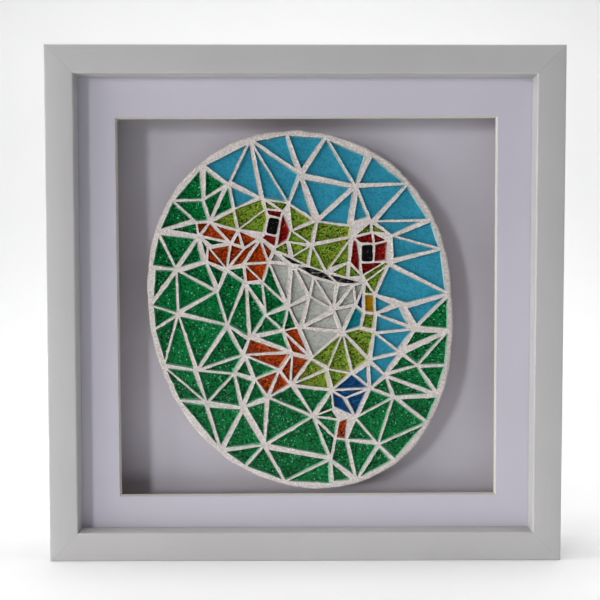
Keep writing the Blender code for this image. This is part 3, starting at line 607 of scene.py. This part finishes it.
class Body:
    """Points and faces of one piece. A point is across and up from the panel's middle, and deep
    behind the face of the glass, all in millimetres."""

    def __init__(self):
        self.points, self.faces, self.slots = [], [], []

    def point(self, spot, deep):
        self.points.append((spot[0] * MM, GLASS_FRONT + deep * MM, MIDDLE_Z + spot[1] * MM))
        return len(self.points) - 1

    def ring(self, outline, deep):
        """A loop of points, at one depth or at a depth for each."""
        depths = deep if isinstance(deep, list) else [deep] * len(outline)
        return [self.point(spot, level) for spot, level in zip(outline, depths)]

    def face(self, corners, slot=0):
        self.faces.append(corners)
        self.slots.append(slot)

    def band(self, first, second, slot=0):
        """Faces between two loops of the same length."""
        for (here, after), (there, beyond) in zip(sides(first), sides(second)):
            self.face([here, after, beyond, there], slot)

    def loft(self, rings):
        """A closed form through loops of the same length."""
        for first, second in zip(rings, rings[1:]):
            self.band(first, second)
        self.face(rings[0])
        self.face(rings[-1])

    def piece(self, name, materials, nodes, smooth=None):
        """The finished piece, which rides on the frame and stands for these solids."""
        mesh = bpy.data.meshes.new(name)
        mesh.from_pydata(self.points, [], self.faces)
        mesh.polygons.foreach_set("material_index", self.slots)
        shaper = bmesh.new()
        shaper.from_mesh(mesh)
        bmesh.ops.recalc_face_normals(shaper, faces=shaper.faces)
        shaper.to_mesh(mesh)
        shaper.free()
        for material in materials:
            mesh.materials.append(material)
        if smooth is not None:
            mesh.shade_smooth()
            mesh.set_sharp_from_angle(angle=math.radians(smooth))
        made = put(name, mesh)
        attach(made, BODY)
        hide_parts(*nodes)


def flat_loops(node, level):
    """The closed outlines of a solid's faces at one depth, anticlockwise, in millimetres."""
    solid = bmesh.new()
    solid.from_mesh(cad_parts[node].data)
    bmesh.ops.remove_doubles(solid, verts=solid.verts, dist=SAME_PLACE)
    flat = [face for face in solid.faces
            if all(abs(corner.co.y - level) < IN_PLANE for corner in face.verts)]
    among = set(flat)
    onward = {}
    for loop in (loop for face in flat for loop in face.loops):
        if sum(face in among for face in loop.edge.link_faces) == 1:
            start, end = loop.vert, loop.link_loop_next.vert
            onward[start.index] = (end.index, (start.co.x / MM, (start.co.z - MIDDLE_Z) / MM))
    loops = []
    while onward:
        here, loop = min(onward), []
        while here in onward:
            here, spot = onward.pop(here)
            loop.append(Vector(spot))
        loops.append(canonical(loop))
    solid.free()
    return sorted(loops, key=lambda loop: tuple(round(part, 1) for part in middle(loop)))


def canonical(loop):
    """The loop without points along its straight edges, anticlockwise, from its leftmost point."""
    if turning(loop) < 0:
        loop = loop[::-1]
    kept = [here for before, here, after in neighbours(loop)
            if abs((here - before).normalized().cross((after - here).normalized())) > STRAIGHT]
    first = min(range(len(kept)), key=lambda index: (round(kept[index].x, 2), kept[index].y))
    return kept[first:] + kept[:first]


def rim_outline(node, level, pitch):
    """The smooth outer outline of a solid at one depth, in even steps, with its outward directions."""
    corners = max(flat_loops(node, level), key=turning)
    count = len(corners)
    fine = []
    for index in range(count):
        first, second, third, fourth = (corners[(index + shift) % count] for shift in (-1, 0, 1, 2))
        steps = max(1, round((third - second).length / pitch))
        for step in range(steps):
            part = step / steps
            fine.append(0.5 * (second * 2 + (third - first) * part
                               + (first * 2 - second * 5 + third * 4 - fourth) * part ** 2
                               + (second * 3 - first - third * 3 + fourth) * part ** 3))
    return fine, [-way for way in ways_in(fine)]


# ---- the cut of the glass ----

STEP = 0.85  # mm between points along a cut edge
# the least and most rounding of a corner, mm: it shrinks as the corner sharpens
CORNER_ROUND = {"pupil": (3.2, 4.5), "mouth": (3.0, 4.0)}
OTHER_ROUND = (0.5, 1.2)
# mm that a zone's pieces stand out past their solids, still inside the pockets of the grout's solid
GROWN = {"head": 0.2, "belly": 0.2, "hand": 0.1}
SHARPEST = 0.1  # half of the least angle that a corner counts as, in radians
TIP_WIDTH = 0.5  # mm, least width of a blunted tip
BLUNT_SHARE = 0.3  # most of an edge's length that one corner's rounding takes
CHIPPED = 0.42  # share of long edges with a chip
LONG_EDGE = 6.0  # mm
CHIP_REACH = (0.7, 2.2)  # mm, half the length of a chip
CHIP_SHARE = (0.35, 1.0)  # of the deepest chip
EDGE_FADE = 1.5  # mm from a corner over which an edge starts to waver
CHIP_FADE = 4.0  # mm from a corner over which a chip may reach its depth


def hand_cut(outline, sizes, chance, rounding):
    """A glass outline as it is cut by hand: blunt corners, edges that waver, a chip here and there."""
    corners = []
    for last, here, following in neighbours(outline):
        before, after = last - here, following - here
        narrow = math.sin(max(before.angle(after) / 2, SHARPEST))
        blunt = max(chance.uniform(*rounding) * narrow ** 3, TIP_WIDTH / 2 / narrow)
        blunt = min(blunt, BLUNT_SHARE * before.length, BLUNT_SHARE * after.length)
        start, end = here + before.normalized() * blunt, here + after.normalized() * blunt
        turn = [start * (1 - part) ** 2 + here * (2 * part * (1 - part)) + end * part ** 2
                for part in (0.25, 0.5, 0.75)]
        corners.append((start, turn, end))
    cut = []
    tide = chance.uniform(0, 500)
    for (_, turn, start), (end, _, _) in sides(corners):
        span = (end - start).length
        along = (end - start).normalized()
        inward = Vector((-along.y, along.x))
        chip = None
        if span > LONG_EDGE and chance.random() < CHIPPED:
            chip = (chance.uniform(0.12, 0.88) * span, chance.uniform(*CHIP_REACH),
                    chance.uniform(*CHIP_SHARE) * (sizes.chip / MM))
        steps = max(2, round(span / STEP))
        cut.extend(turn)
        for step in range(steps + 1):
            far = span * step / steps
            spot = start + along * far
            stray = drift(spot, 0.22, tide) * 1.6 + drift(spot, 0.9, tide + 9) * 0.5
            stray *= sizes.waver / MM * min(1.0, far / EDGE_FADE, (span - far) / EDGE_FADE)
            if chip:
                beside = max(0.0, 1 - abs(far - chip[0]) / chip[1])
                stray += chip[2] * beside * min(1.0, far / CHIP_FADE, (span - far) / CHIP_FADE)
            cut.append(spot + inward * stray)
    return cut


def cut_glass(sizes):
    """The hand-cut outlines of each node of glass. The glass and the grout both follow them."""
    chance = random.Random(sizes.seed)
    shards = {}
    for node in sorted(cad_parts):
        if "_glass" in node:
            zone = node.split("_")[0]
            rounding, grown = CORNER_ROUND.get(zone, OTHER_ROUND), GROWN.get(zone, 0)
            shards[node] = [hand_cut(moved_in(outline, -grown), sizes, chance, rounding)
                            for outline in flat_loops(node, GLASS_FRONT)]
    return shards


# ---- frame ----

ROUND_STEPS = 6  # round a blunted edge
RAIL_STEPS = 24  # lengths that a rail is divided into
RAIL_WAVER = 0.03  # mm, how uneven a rail is along its length
RAIL_MARGIN = 1.0  # mm from a rail's two sides that stays straight


def rail_section(sizes, depth):
    """The rail's section: (in from the outer face, behind the front), in millimetres."""
    blunt, face, wall, lip = (size / MM for size in (sizes.edge_round, sizes.rail_face, sizes.rail_wall,
                                                     sizes.lip_depth))
    return (arc((blunt, blunt), blunt, 180, 270, ROUND_STEPS)
            + arc((face - blunt, blunt), blunt, 270, 360, ROUND_STEPS)
            + [Vector((face, lip)), Vector((wall, lip)), Vector((wall, depth))]
            + arc((blunt, depth - blunt), blunt, 90, 180, ROUND_STEPS))


def dress_rail(sizes, quarter, name, material):
    """One mitred rail: a small groove runs along each joint, and its length is a little uneven."""
    deep = (PANEL_HIGH.y - PANEL_LOW.y) / MM
    section = rail_section(sizes, deep)
    gap, arris = sizes.mitre_gap / MM / 2, sizes.mitre_arris / MM / 2
    wide = max(spot.x for spot in section)
    inner = [Vector((min(max(spot.x, arris), wide - arris), min(max(spot.y, arris), deep - arris)))
             for spot in section]
    stations = [(-1, 0, inner, 0), (-1, arris, section, 0)]
    for step in range(1, RAIL_STEPS):
        stations.append((2 * step / RAIL_STEPS - 1, 0, section, RAIL_WAVER))
    stations += [(1, arris, section, 0), (1, 0, inner, 0)]
    turn = Matrix.Rotation(-quarter * math.pi / 2, 2)
    body = Body()
    rings = []
    for part, set_back, outline, waver in stations:
        ring = []
        for spot in outline:
            across = part * (HALF_SIDE - spot.x - gap - set_back)
            upright = spot.x - HALF_SIDE
            if RAIL_MARGIN < spot.x < wide - RAIL_MARGIN:
                upright += waver * noise.noise(Vector((across * 0.05, spot.y * 0.1, quarter * 7.0)))
            ring.append(body.point(turn @ Vector((across, upright)), behind_glass(PANEL_LOW.y) + spot.y))
        rings.append(ring)
    body.loft(rings)
    body.piece(name, [material], [f"frame_{name.split('_')[0]}_rail"], RAIL_EDGE)


class MOSAIC_OT_rails(bpy.types.Operator):
    """Build the four painted rails over their solids"""

    bl_idname = "mosaic.rails"
    bl_label = "Rails"

    def execute(self, context):
        paints = [rail_paint(context.scene.mosaic_colours, along) for along in "xz"]
        for quarter, side in enumerate(("bottom", "left", "top", "right")):
            dress_rail(context.scene.mosaic_frame, quarter, f"{side}_rail_painted", paints[quarter % 2])
        return {"FINISHED"}


def coat(node, material):
    """Gives a solid that keeps its shape its finish."""
    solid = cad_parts[node]
    solid.data.materials.clear()
    solid.data.materials.append(material)


class MOSAIC_OT_boards(bpy.types.Operator):
    """Finish the mount board, the spacers and the back board"""

    bl_idname = "mosaic.boards"
    bl_label = "Card and boards"

    def execute(self, context):
        colours = context.scene.mosaic_colours
        coat("mount_board", mount_card(colours))
        coat("back_board", lining_board(colours))
        fluted = spacer_card(colours)
        for side in ("top", "bottom", "left", "right"):
            coat(f"spacer_{side}", fluted)
        return {"FINISHED"}


TAB_STEPS = 16  # lengths that a tab is divided into
TAB_TIP = 0.38  # share of a tab's length that narrows to its tip
TAB_END = 0.35  # mm, half the width of the tip
TAB_ARRIS = 0.08  # mm that the tab's outer face is narrower


def dress_tab(sizes, node, material):
    """A sprung tab: it leaves the rail flat, rises a little and ends in a rounded tip."""
    low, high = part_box(node)
    size, spot = (high - low) / MM, (low + high) / 2
    near, lift = behind_glass(low.y), sizes.tab_lift / MM
    quarter = ("right", "top", "left", "bottom").index(node.split("_")[1])
    reach, width = (size.z, size.x) if quarter % 2 else (size.x, size.z)
    turn = Matrix.Rotation(quarter * math.pi / 2, 2)
    centre = Vector((spot.x / MM, (spot.z - MIDDLE_Z) / MM))
    body = Body()
    rows = []
    for step in range(TAB_STEPS + 1):
        part = step / TAB_STEPS
        along = reach / 2 - part * reach
        tip = max(0.0, part - (1 - TAB_TIP)) / TAB_TIP
        half = width / 2 * math.sqrt(max(0.0, 1 - tip ** 2.4) * 0.92 + 0.08 * (1 - tip))
        half = max(half, TAB_END)
        rise = lift * (0.5 - 0.5 * math.cos(math.pi * min(1.0, part * 1.15)))
        row = body.ring([centre + turn @ Vector((along, across)) for across in (-half, half)], near + rise)
        half -= TAB_ARRIS
        rows.append(row + body.ring([centre + turn @ Vector((along, across)) for across in (half, -half)],
                                    near + rise + size.y))
    body.loft(rows)
    body.piece(f"{node}_sprung", [material], [node], STEEL_EDGE)


PLATE_THICK = 1.2  # mm
PLATE_END = 3.2  # mm, radius of the hanger's ends
END_STEPS = 8
HANGER_TEETH = 9
TOOTH_RISE = 2.0  # mm
TOOTH_FLAT = 0.25  # mm, half the width of the foot of a notch
# a rivet's head: (radius, height over the plate), in millimetres
RIVET_PROFILE = ((2.2, -0.4), (2.2, 0.0), (2.2, 0.25), (2.0, 0.55), (1.55, 0.82), (0.9, 0.97), (0.3, 1.0))
RIVET_SIDES = 32
RIVET_PLACE = 0.75  # of the plate's half length, from its middle


def dress_hanger(sizes, material):
    """A toothed plate with rounded ends and blunted edges, and its two domed rivets."""
    low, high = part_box("hanger")
    half, tall = (high.x - low.x) / 2 / MM, (high.z - low.z) / 2 / MM
    lift = ((low.z + high.z) / 2 - MIDDLE_Z) / MM
    near, blunt = behind_glass(low.y), sizes.plate_arris / MM
    ends = []
    for quarter, (side, end) in enumerate(((1, 1), (-1, 1), (-1, -1), (1, -1))):
        corner = (side * (half - PLATE_END), end * (tall - PLATE_END))
        ends.append(arc(corner, PLATE_END, 90 * quarter, 90 * quarter + 90, END_STEPS))
    pitch = half / HANGER_TEETH
    teeth = [Vector((-half / 2, -tall))]
    for tooth in range(HANGER_TEETH):
        start = -half / 2 + tooth * pitch
        teeth += [Vector((start + pitch / 2 - TOOTH_FLAT, -tall + TOOTH_RISE)),
                  Vector((start + pitch / 2 + TOOTH_FLAT, -tall + TOOTH_RISE)),
                  Vector((start + pitch, -tall))]
    outline = [spot + Vector((0, lift)) for spot in ends[0] + ends[1] + ends[2] + teeth + ends[3][:-1]]
    inner = moved_in(outline, blunt)
    body = Body()
    levels = ((inner, 0.0), (outline, blunt), (outline, PLATE_THICK - blunt), (inner, PLATE_THICK))
    body.loft([body.ring(loop, near + deep) for loop, deep in levels])
    for side in (-1, 1):
        centre = (side * half * RIVET_PLACE, lift)
        body.loft([body.ring(arc(centre, radius, 0, 360, RIVET_SIDES)[:-1], near + PLATE_THICK + rise)
                   for radius, rise in RIVET_PROFILE])
    body.piece("toothed_hanger", [material], ["hanger"], STEEL_EDGE)


class MOSAIC_OT_fixings(bpy.types.Operator):
    """Build the sprung tabs and the toothed hanger at the back"""

    bl_idname = "mosaic.fixings"
    bl_label = "Tabs and hanger"

    def execute(self, context):
        sizes = context.scene.mosaic_frame
        steel = zinc_plate(context.scene.mosaic_colours)
        for node in sorted(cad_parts):
            if node.startswith("tab_"):
                dress_tab(sizes, node, steel)
        dress_hanger(sizes, steel)
        return {"FINISHED"}


# ---- base board and grout ----

BASE_OUT = 0.85  # mm that the board's sawn edge stands outside its solid's outline
BASE_LEAN = 0.55  # mm further out at the lower left, and as much less opposite
BASE_LEAN_TOWARDS = math.radians(222)
BASE_ARRIS = 0.3  # mm
BASE_PITCH = 1.2  # mm between points along its edge


class MOSAIC_OT_base(bpy.types.Operator):
    """Build the sawn base board under the mosaic"""

    bl_idname = "mosaic.base"
    bl_label = "Base board"

    def execute(self, context):
        low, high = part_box("base_board")
        near, far = behind_glass(low.y), behind_glass(high.y)
        outline, outward = rim_outline("base_board", low.y, BASE_PITCH)
        body = Body()
        rings = []
        for shy, deep in ((BASE_ARRIS, near), (0.0, near + BASE_ARRIS), (0.0, near + 5), (0.0, near + 10),
                          (0.0, far - BASE_ARRIS), (BASE_ARRIS, far)):
            ring = []
            for spot, way in zip(outline, outward):
                out = BASE_OUT + BASE_LEAN * math.cos(math.atan2(way.y, way.x) - BASE_LEAN_TOWARDS) - shy
                out += 0.22 * drift(spot, 0.12, 3.0) + 0.07 * drift(spot, 0.7, deep * 0.3)
                ring.append(body.point(spot + way * out, deep))
            rings.append(ring)
        body.loft(rings)
        sawn = fibre_board(context.scene.mosaic_colours)
        body.piece("sawn_base", [sawn], ["base_board"], BOARD_EDGE)
        return {"FINISHED"}


# the grout's rounded rim, from its top to its foot: (mm in from the outline, mm under the glass's
# face, share of the outline's straying)
RIM_PROFILE = ((1.70, 0.40, 0.35), (1.15, 0.50, 0.6), (0.70, 0.72, 0.85), (0.36, 1.08, 1.0),
               (0.12, 1.60, 1.0), (0.0, 2.40, 1.0), (0.03, 3.40, 1.0), (0.10, 4.30, 0.9),
               (0.35, 4.95, 0.8))
GROUT_PITCH = 0.8  # mm between points along the rim
EDGE_LEVEL = 0.17  # mm, grout under the face where it meets the glass
DIP_REACH = 0.75  # mm from the glass over which the grout does most of its sinking
FAR_FROM_GLASS = 3.0  # mm, where it has sunk as far as it does
RIM_SINK = 0.10  # mm that the grout's face sinks further beside its rim
RIM_STRAY = 0.10  # mm that the rim's side strays in depth
CLEAR_OF_GLASS = 0.40  # mm from the glass to the nearest inner point of the grout
CLEAR_OF_RIM = 0.55  # mm from the rim to the nearest inner point
SCATTER = 0.28  # share of the spacing by which an inner point strays
POCKET_OVERLAP = 0.05  # mm that the grout closes over the side of the glass


def straying(spot, sizes):
    """How far the grout's outer edge stands out or in at a place, in millimetres."""
    nick = max(0.0, drift(spot, 0.20, 44.0) - 0.32)
    return sizes.rim_waver / MM * (1.1 * drift(spot, 0.11, 21.0) + 0.55 * drift(spot, 0.42, 5.0)
                                   - 3.0 * nick)


def grout_level(spot, near, sizes):
    """How deep the grout's face lies at a place that is near, in millimetres, to the glass."""
    dip = sizes.joint_dip / MM * (1 - math.exp(-near / DIP_REACH))
    wave = sizes.trowel / MM * (drift(spot, 0.14, 2.0) + 0.45 * drift(spot, 0.62, 7.0))
    return EDGE_LEVEL + dip + wave * min(1.0, 0.35 + near / 1.5)


def triangles(spots, loops):
    """Triangles between closed loops of the points, of which the rim is the last. Those whose corners
    are all on one loop lie in the grout if they turn with the rim, or against a piece of glass."""
    edges = [side for loop in loops for side in sides(loop)]
    verts, _, faces, _, _, _ = delaunay_2d_cdt(spots, edges, [], 0, 1e-5, False)
    if len(verts) != len(spots):
        raise RuntimeError("two outlines of the mosaic cross")
    loop_of = {corner: number for number, loop in enumerate(loops) for corner in loop}
    kept = []
    for face in faces:
        numbers = {loop_of.get(corner) for corner in face}
        if len(numbers) == 1 and None not in numbers:
            first, second, third = (spots[corner] for corner in sorted(face))
            turns_left = (second - first).cross(third - first) > 0
            if turns_left != (numbers == {len(loops) - 1}):
                continue
        kept.append(face)
    return kept


def build_grout(context):
    """The grout: a front that sinks between the pieces, a pocket round each and a rounded rim."""
    sizes, colours = context.scene.mosaic_glass, context.scene.mosaic_colours
    pockets = [moved_in(outline, POCKET_OVERLAP)
               for shards in cut_glass(sizes).values() for outline in shards]
    spots = [spot for pocket in pockets for spot in pocket]
    owners = [pocket for pocket in pockets for _ in pocket]
    glass = finder(spots)
    outline, outward = rim_outline("grout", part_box("grout")[0].y, GROUT_PITCH)
    stray = [straying(spot, sizes) for spot in outline]
    rims = [[spot + way * (out * share - shy) for spot, way, out in zip(outline, outward, stray)]
            for shy, _, share in RIM_PROFILE]
    rim = finder(rims[0])
    rise = RIM_PROFILE[0][1] - EDGE_LEVEL - sizes.joint_dip / MM
    depths = [grout_level(spot, 0.0, sizes) for spot in spots]
    depths += [grout_level(spot, FAR_FROM_GLASS, sizes) + rise for spot in rims[0]]
    spots += rims[0]
    loops = []
    for loop in pockets + [rims[0]]:
        start = loops[-1][-1] + 1 if loops else 0
        loops.append(list(range(start, start + len(loop))))

    chance = random.Random(sizes.seed + 1)
    spacing = sizes.spacing / MM
    centre = middle(rims[0])
    steps = math.ceil(max((spot - centre).length for spot in rims[0]) / spacing)
    for column in range(-steps, steps + 1):
        for row in range(-steps, steps + 1):
            spot = centre + Vector((column + 0.5 * (row % 2), row * 0.9)) * spacing
            spot += Vector((chance.uniform(-SCATTER, SCATTER), chance.uniform(-SCATTER, SCATTER))) * spacing
            _, index, near_rim = rim.find((*spot, 0))
            if (spot - rims[0][index]).dot(outward[index]) > 0 or near_rim < CLEAR_OF_RIM:
                continue
            _, index, near = glass.find((*spot, 0))
            if near < CLEAR_OF_GLASS or inside(spot, owners[index]):
                continue
            spots.append(spot)
            depths.append(grout_level(spot, near, sizes) + RIM_SINK * math.exp(-near_rim / 1.2))

    body = Body()
    body.ring(spots, depths)
    for face in triangles(spots, loops):
        body.face(list(face))
    foot = RIM_PROFILE[-1][1]
    under = [spot for pocket in pockets for spot in leaned(pocket, sizes.lean, foot)] + rims[-1]
    lowest = len(body.points)
    body.ring(under, foot)
    for face in triangles(under, loops):
        body.face([lowest + corner for corner in face])
    below = [[lowest + corner for corner in loop] for loop in loops]
    for top, bottom in zip(loops[:-1], below):
        body.band(top, bottom, 1)
    last = loops[-1]
    for line, (_, deep, _) in list(zip(rims, RIM_PROFILE))[1:-1]:
        ring = body.ring(line, [deep + RIM_STRAY * drift(spot, 0.3, deep) for spot in line])
        body.band(last, ring)
        last = ring
    body.band(last, below[-1])
    body.piece("sanded_grout", [sanded_grout(colours), pocket_side_painted_shading(colours)], ["grout"], GROUT_EDGE)


class MOSAIC_OT_grout(bpy.types.Operator):
    """Build the grout between the pieces of glass and round the rim"""

    bl_idname = "mosaic.grout"
    bl_label = "Grout"

    def execute(self, context):
        build_grout(context)
        return {"FINISHED"}


# ---- glass ----

OVERLAP = 0.05  # mm that the clear glass sinks into its colour, so that they touch
BACK_SHY = 0.05  # mm by which the glass ends before the back of its solid
PROUD = (-0.35, 0.65)  # of the height by which the pieces differ: the furthest out and in
LIME_TINT, RUST_TINT = (0.62, 0.74, 0.30), (0.86, 0.42, 0.25)
# the share of red, green and blue that a view through each zone of clear glass keeps
THROUGH = {"belly": LIME_TINT, "chest": (0.90, 0.93, 0.89), "eye": (0.76, 0.22, 0.20), "foot": RUST_TINT,
           "hand": RUST_TINT, "head": LIME_TINT, "leaves": (0.30, 0.76, 0.52), "ochre": (0.86, 0.68, 0.30),
           "sky": (0.42, 0.76, 0.86), "teal": (0.35, 0.74, 0.82), "thigh": (0.25, 0.48, 0.80)}
BRUSH_BLUE = (0.010, 0.130, 0.290)  # the brush marks in the navy


def lay_shard(body, outline, sizes, chance, clear):
    """One piece of glass: its clear front with a blunt edge, over a coloured back."""
    centre = middle(outline)
    lean = chance.uniform(0, math.tan(sizes.tilt))
    towards = chance.uniform(0, 2 * math.pi)
    slope = Vector((math.cos(towards), math.sin(towards))) * lean
    rise = chance.uniform(*PROUD) * sizes.proud / MM
    arris = sizes.arris / MM
    back = behind_glass(GLASS_BACK) - BACK_SHY

    def tilted(loop, deep):
        return body.ring(loop, [deep + rise + (spot - centre).dot(slope) for spot in loop])

    top = tilted(moved_in(outline, arris), 0.0)
    side = tilted(outline, arris * 0.8)
    body.face(top)
    body.band(top, side)
    if clear:
        under = sizes.clear_depth / MM
        sunk = leaned(outline, sizes.lean, under)
        bottom = body.ring(sunk, under + OVERLAP)
        body.band(side, bottom)
        body.face(bottom)
        side = body.ring(sunk, under)
        body.face(side, 1)
    bottom = body.ring(leaned(outline, sizes.lean, back), back)
    body.band(side, bottom, int(clear))
    body.face(bottom, int(clear))


def glass_finishes(colours):
    """The finish under each zone of clear glass, in the colour that shows as the wanted one."""
    def behind(colour, zone):
        return tuple(min(1.0, part / share) for part, share in zip(colour, THROUGH[zone]))

    def paint(zone, colour, *marks):
        return paint_under_glass(f"{zone}_paint", behind(colour, zone), *marks)

    finishes = {
        "leaves": glitter("leaf_glitter", behind(colours.leaf, "leaves"), (0.90, 1.0, 0.95)),
        "head": glitter("lime_glitter", behind(colours.lime, "head"), (0.90, 0.80, 0.50),
                        warm=(0.95, 0.46, 0.06)),
        "hand": glitter("rust_glitter", behind(colours.rust, "hand"), (1.0, 0.85, 0.70), sparks=0.97),
        "eye": glitter("ruby_glitter", behind(colours.ruby, "eye"), (0.90, 0.55, 0.55), sparks=0.97),
        "sky": paint("sky", colours.sky, 0.07),
        "chest": paint("chest", colours.pale, 0.05),
        "thigh": paint("thigh", colours.navy, 0.30, 0.8, behind(BRUSH_BLUE, "thigh")),
        "teal": paint("teal", colours.teal, 0.22, 0.4),
        "ochre": paint("ochre", colours.ochre, 0.25, 0.4),
    }
    return finishes | {"belly": finishes["head"], "foot": finishes["hand"]}


class MOSAIC_OT_glass(bpy.types.Operator):
    """Build the hand-cut glass, one piece for each colour's patch"""

    bl_idname = "mosaic.glass"
    bl_label = "Glass"

    def execute(self, context):
        sizes, colours = context.scene.mosaic_glass, context.scene.mosaic_colours
        chance = random.Random(sizes.seed + 2)
        finishes = glass_finishes(colours)
        jets = {"pupil": jet_glass(colours, False), "mouth": jet_glass(colours, True)}
        tints = dict.fromkeys(THROUGH.values())
        clears = {tint: clear_glass(f"clear_glass_{number}", tint) for number, tint in enumerate(tints, 1)}
        for node, outlines in cut_glass(sizes).items():
            zone = node.split("_")[0]
            body = Body()
            for outline in outlines:
                lay_shard(body, outline, sizes, chance, zone not in jets)
            materials = [jets[zone]] if zone in jets else [clears[THROUGH[zone]], finishes[zone]]
            number = node.removeprefix(f"{zone}_glass")
            body.piece(f"{zone}_shards{number}", materials, [node])
        return {"FINISHED"}


# ---- studio ----

CAMERA_PLACE = (-0.0052, -0.437, 0.1546)
CAMERA_TURN = (math.radians(90 - 2.28), math.radians(0.03), math.radians(-0.31))
FLOOR_HALF = 3.0
WALL_START, WALL_ROUND, WALL_HIGH = 1.1, 0.7, 2.6
WALL_STEPS = 16


def area_light(name, place, target, size, power, spread=180.0):
    """A rectangular lamp that faces a point and shines inside a spread of degrees."""
    lamp = bpy.data.lights.new(name, "AREA")
    lamp.shape = "RECTANGLE"
    lamp.size, lamp.size_y = size
    lamp.energy = power
    lamp.spread = math.radians(spread)
    made = put(name, lamp)
    made.location = place
    made.visible_camera = False
    aim = Vector(target) - Vector(place)
    if aim.x or aim.y:
        made.rotation_euler = aim.to_track_quat("-Z", "Y").to_euler()


class MOSAIC_OT_stage(bpy.types.Operator):
    """Build the floor, the lamps, the light of the room and the camera"""

    bl_idname = "mosaic.stage"
    bl_label = "Studio"

    def execute(self, context):
        scene, stage = context.scene, context.scene.mosaic_stage
        profile = [(-FLOOR_HALF, 0.0), *arc((WALL_START, WALL_ROUND), WALL_ROUND, 270, 360, WALL_STEPS),
                   (WALL_START + WALL_ROUND, WALL_HIGH)]
        points = [(side, y, z) for y, z in profile for side in (-FLOOR_HALF, FLOOR_HALF)]
        faces = [(2 * step, 2 * step + 1, 2 * step + 3, 2 * step + 2) for step in range(len(profile) - 1)]
        mesh = bpy.data.meshes.new("studio_sweep")
        mesh.from_pydata(points, [], faces)
        mesh.materials.append(studio_floor(stage))
        mesh.shade_smooth()
        sweep = put("studio_sweep", mesh)

        area_light("key_lamp", (-1.18, -1.72, 0.40), (0.08, 0, -0.10), (0.28, 0.50), stage.key_power, 48.0)
        area_light("window_lamp", (-2.40, -1.00, 0.30), (0, 0, 0.13), (1.5, 0.75), stage.window_power)
        area_light("side_lamp", (-1.75, -0.30, 0.20), (0, 0, 0.13), (0.4, 0.5), stage.side_power)
        area_light("floor_lamp", (0.0, -0.03, 1.5), (0, -0.03, 0), (2.6, 0.35), stage.floor_power, 110.0)
        area_light("back_lamp", (0.0, 0.75, 1.7), (0, 0.75, 0), (3.0, 0.7), stage.back_power, 110.0)
        area_light("wall_lamp", (0.24, 0.75, 0.9), (0.24, 1.8, 0.5), (2.4, 0.5), stage.wall_power)

        scene.world = bpy.data.worlds.new("studio_room")
        room = Finish(world=scene.world)
        towards = room.axis(room.node("ShaderNodeTexCoord", output="Generated"), "Y")
        light = room.mix(towards.ramp(-0.80, -0.95), (0.96, 0.97, 1.0), (0.30, 0.30, 0.31))
        room.close(room.node("ShaderNodeBackground", None,
                             {"Color": light, "Strength": stage.room_strength}), "World")

        lens = bpy.data.cameras.new("panel_camera")
        lens.lens = stage.lens
        lens.sensor_width = 36.0
        camera = put("panel_camera", lens)
        camera.location = CAMERA_PLACE
        camera.rotation_euler = CAMERA_TURN
        scene.camera = camera
        scene.view_settings.view_transform = "Standard"
        return {"FINISHED"}


# ---- the add-on ----

OPERATORS = (MOSAIC_OT_rails, MOSAIC_OT_boards, MOSAIC_OT_fixings, MOSAIC_OT_base, MOSAIC_OT_grout,
             MOSAIC_OT_glass, MOSAIC_OT_stage)
GROUPS = {"mosaic_frame": MosaicFrameSizes, "mosaic_glass": MosaicGlassSizes,
          "mosaic_colours": MosaicColours, "mosaic_stage": MosaicStage}


class MOSAIC_PT_panel(bpy.types.Panel):
    """Sizes, colours and makers of the mosaic panel."""

    bl_idname = "MOSAIC_PT_panel"
    bl_label = "Mosaic Panel"
    bl_space_type = "VIEW_3D"
    bl_region_type = "UI"
    bl_category = "Mosaic"

    def draw(self, context):
        for name, group in GROUPS.items():
            box = self.layout.box()
            for prop in group.__annotations__:
                box.prop(getattr(context.scene, name), prop)
        for operator in OPERATORS:
            self.layout.operator(operator.bl_idname)


CLASSES = (*GROUPS.values(), *OPERATORS, MOSAIC_PT_panel)


def register():
    for kind in CLASSES:
        bpy.utils.register_class(kind)
    for name, group in GROUPS.items():
        setattr(bpy.types.Scene, name, PointerProperty(type=group))


def unregister():
    for name in GROUPS:
        delattr(bpy.types.Scene, name)
    for kind in reversed(CLASSES):
        bpy.utils.unregister_class(kind)


def main():
    register()
    bpy.ops.mosaic.rails()
    bpy.ops.mosaic.boards()
    bpy.ops.mosaic.fixings()
    bpy.ops.mosaic.base()
    bpy.ops.mosaic.grout()
    bpy.ops.mosaic.glass()
    bpy.ops.mosaic.stage()


if __name__ == "__main__":
    main()
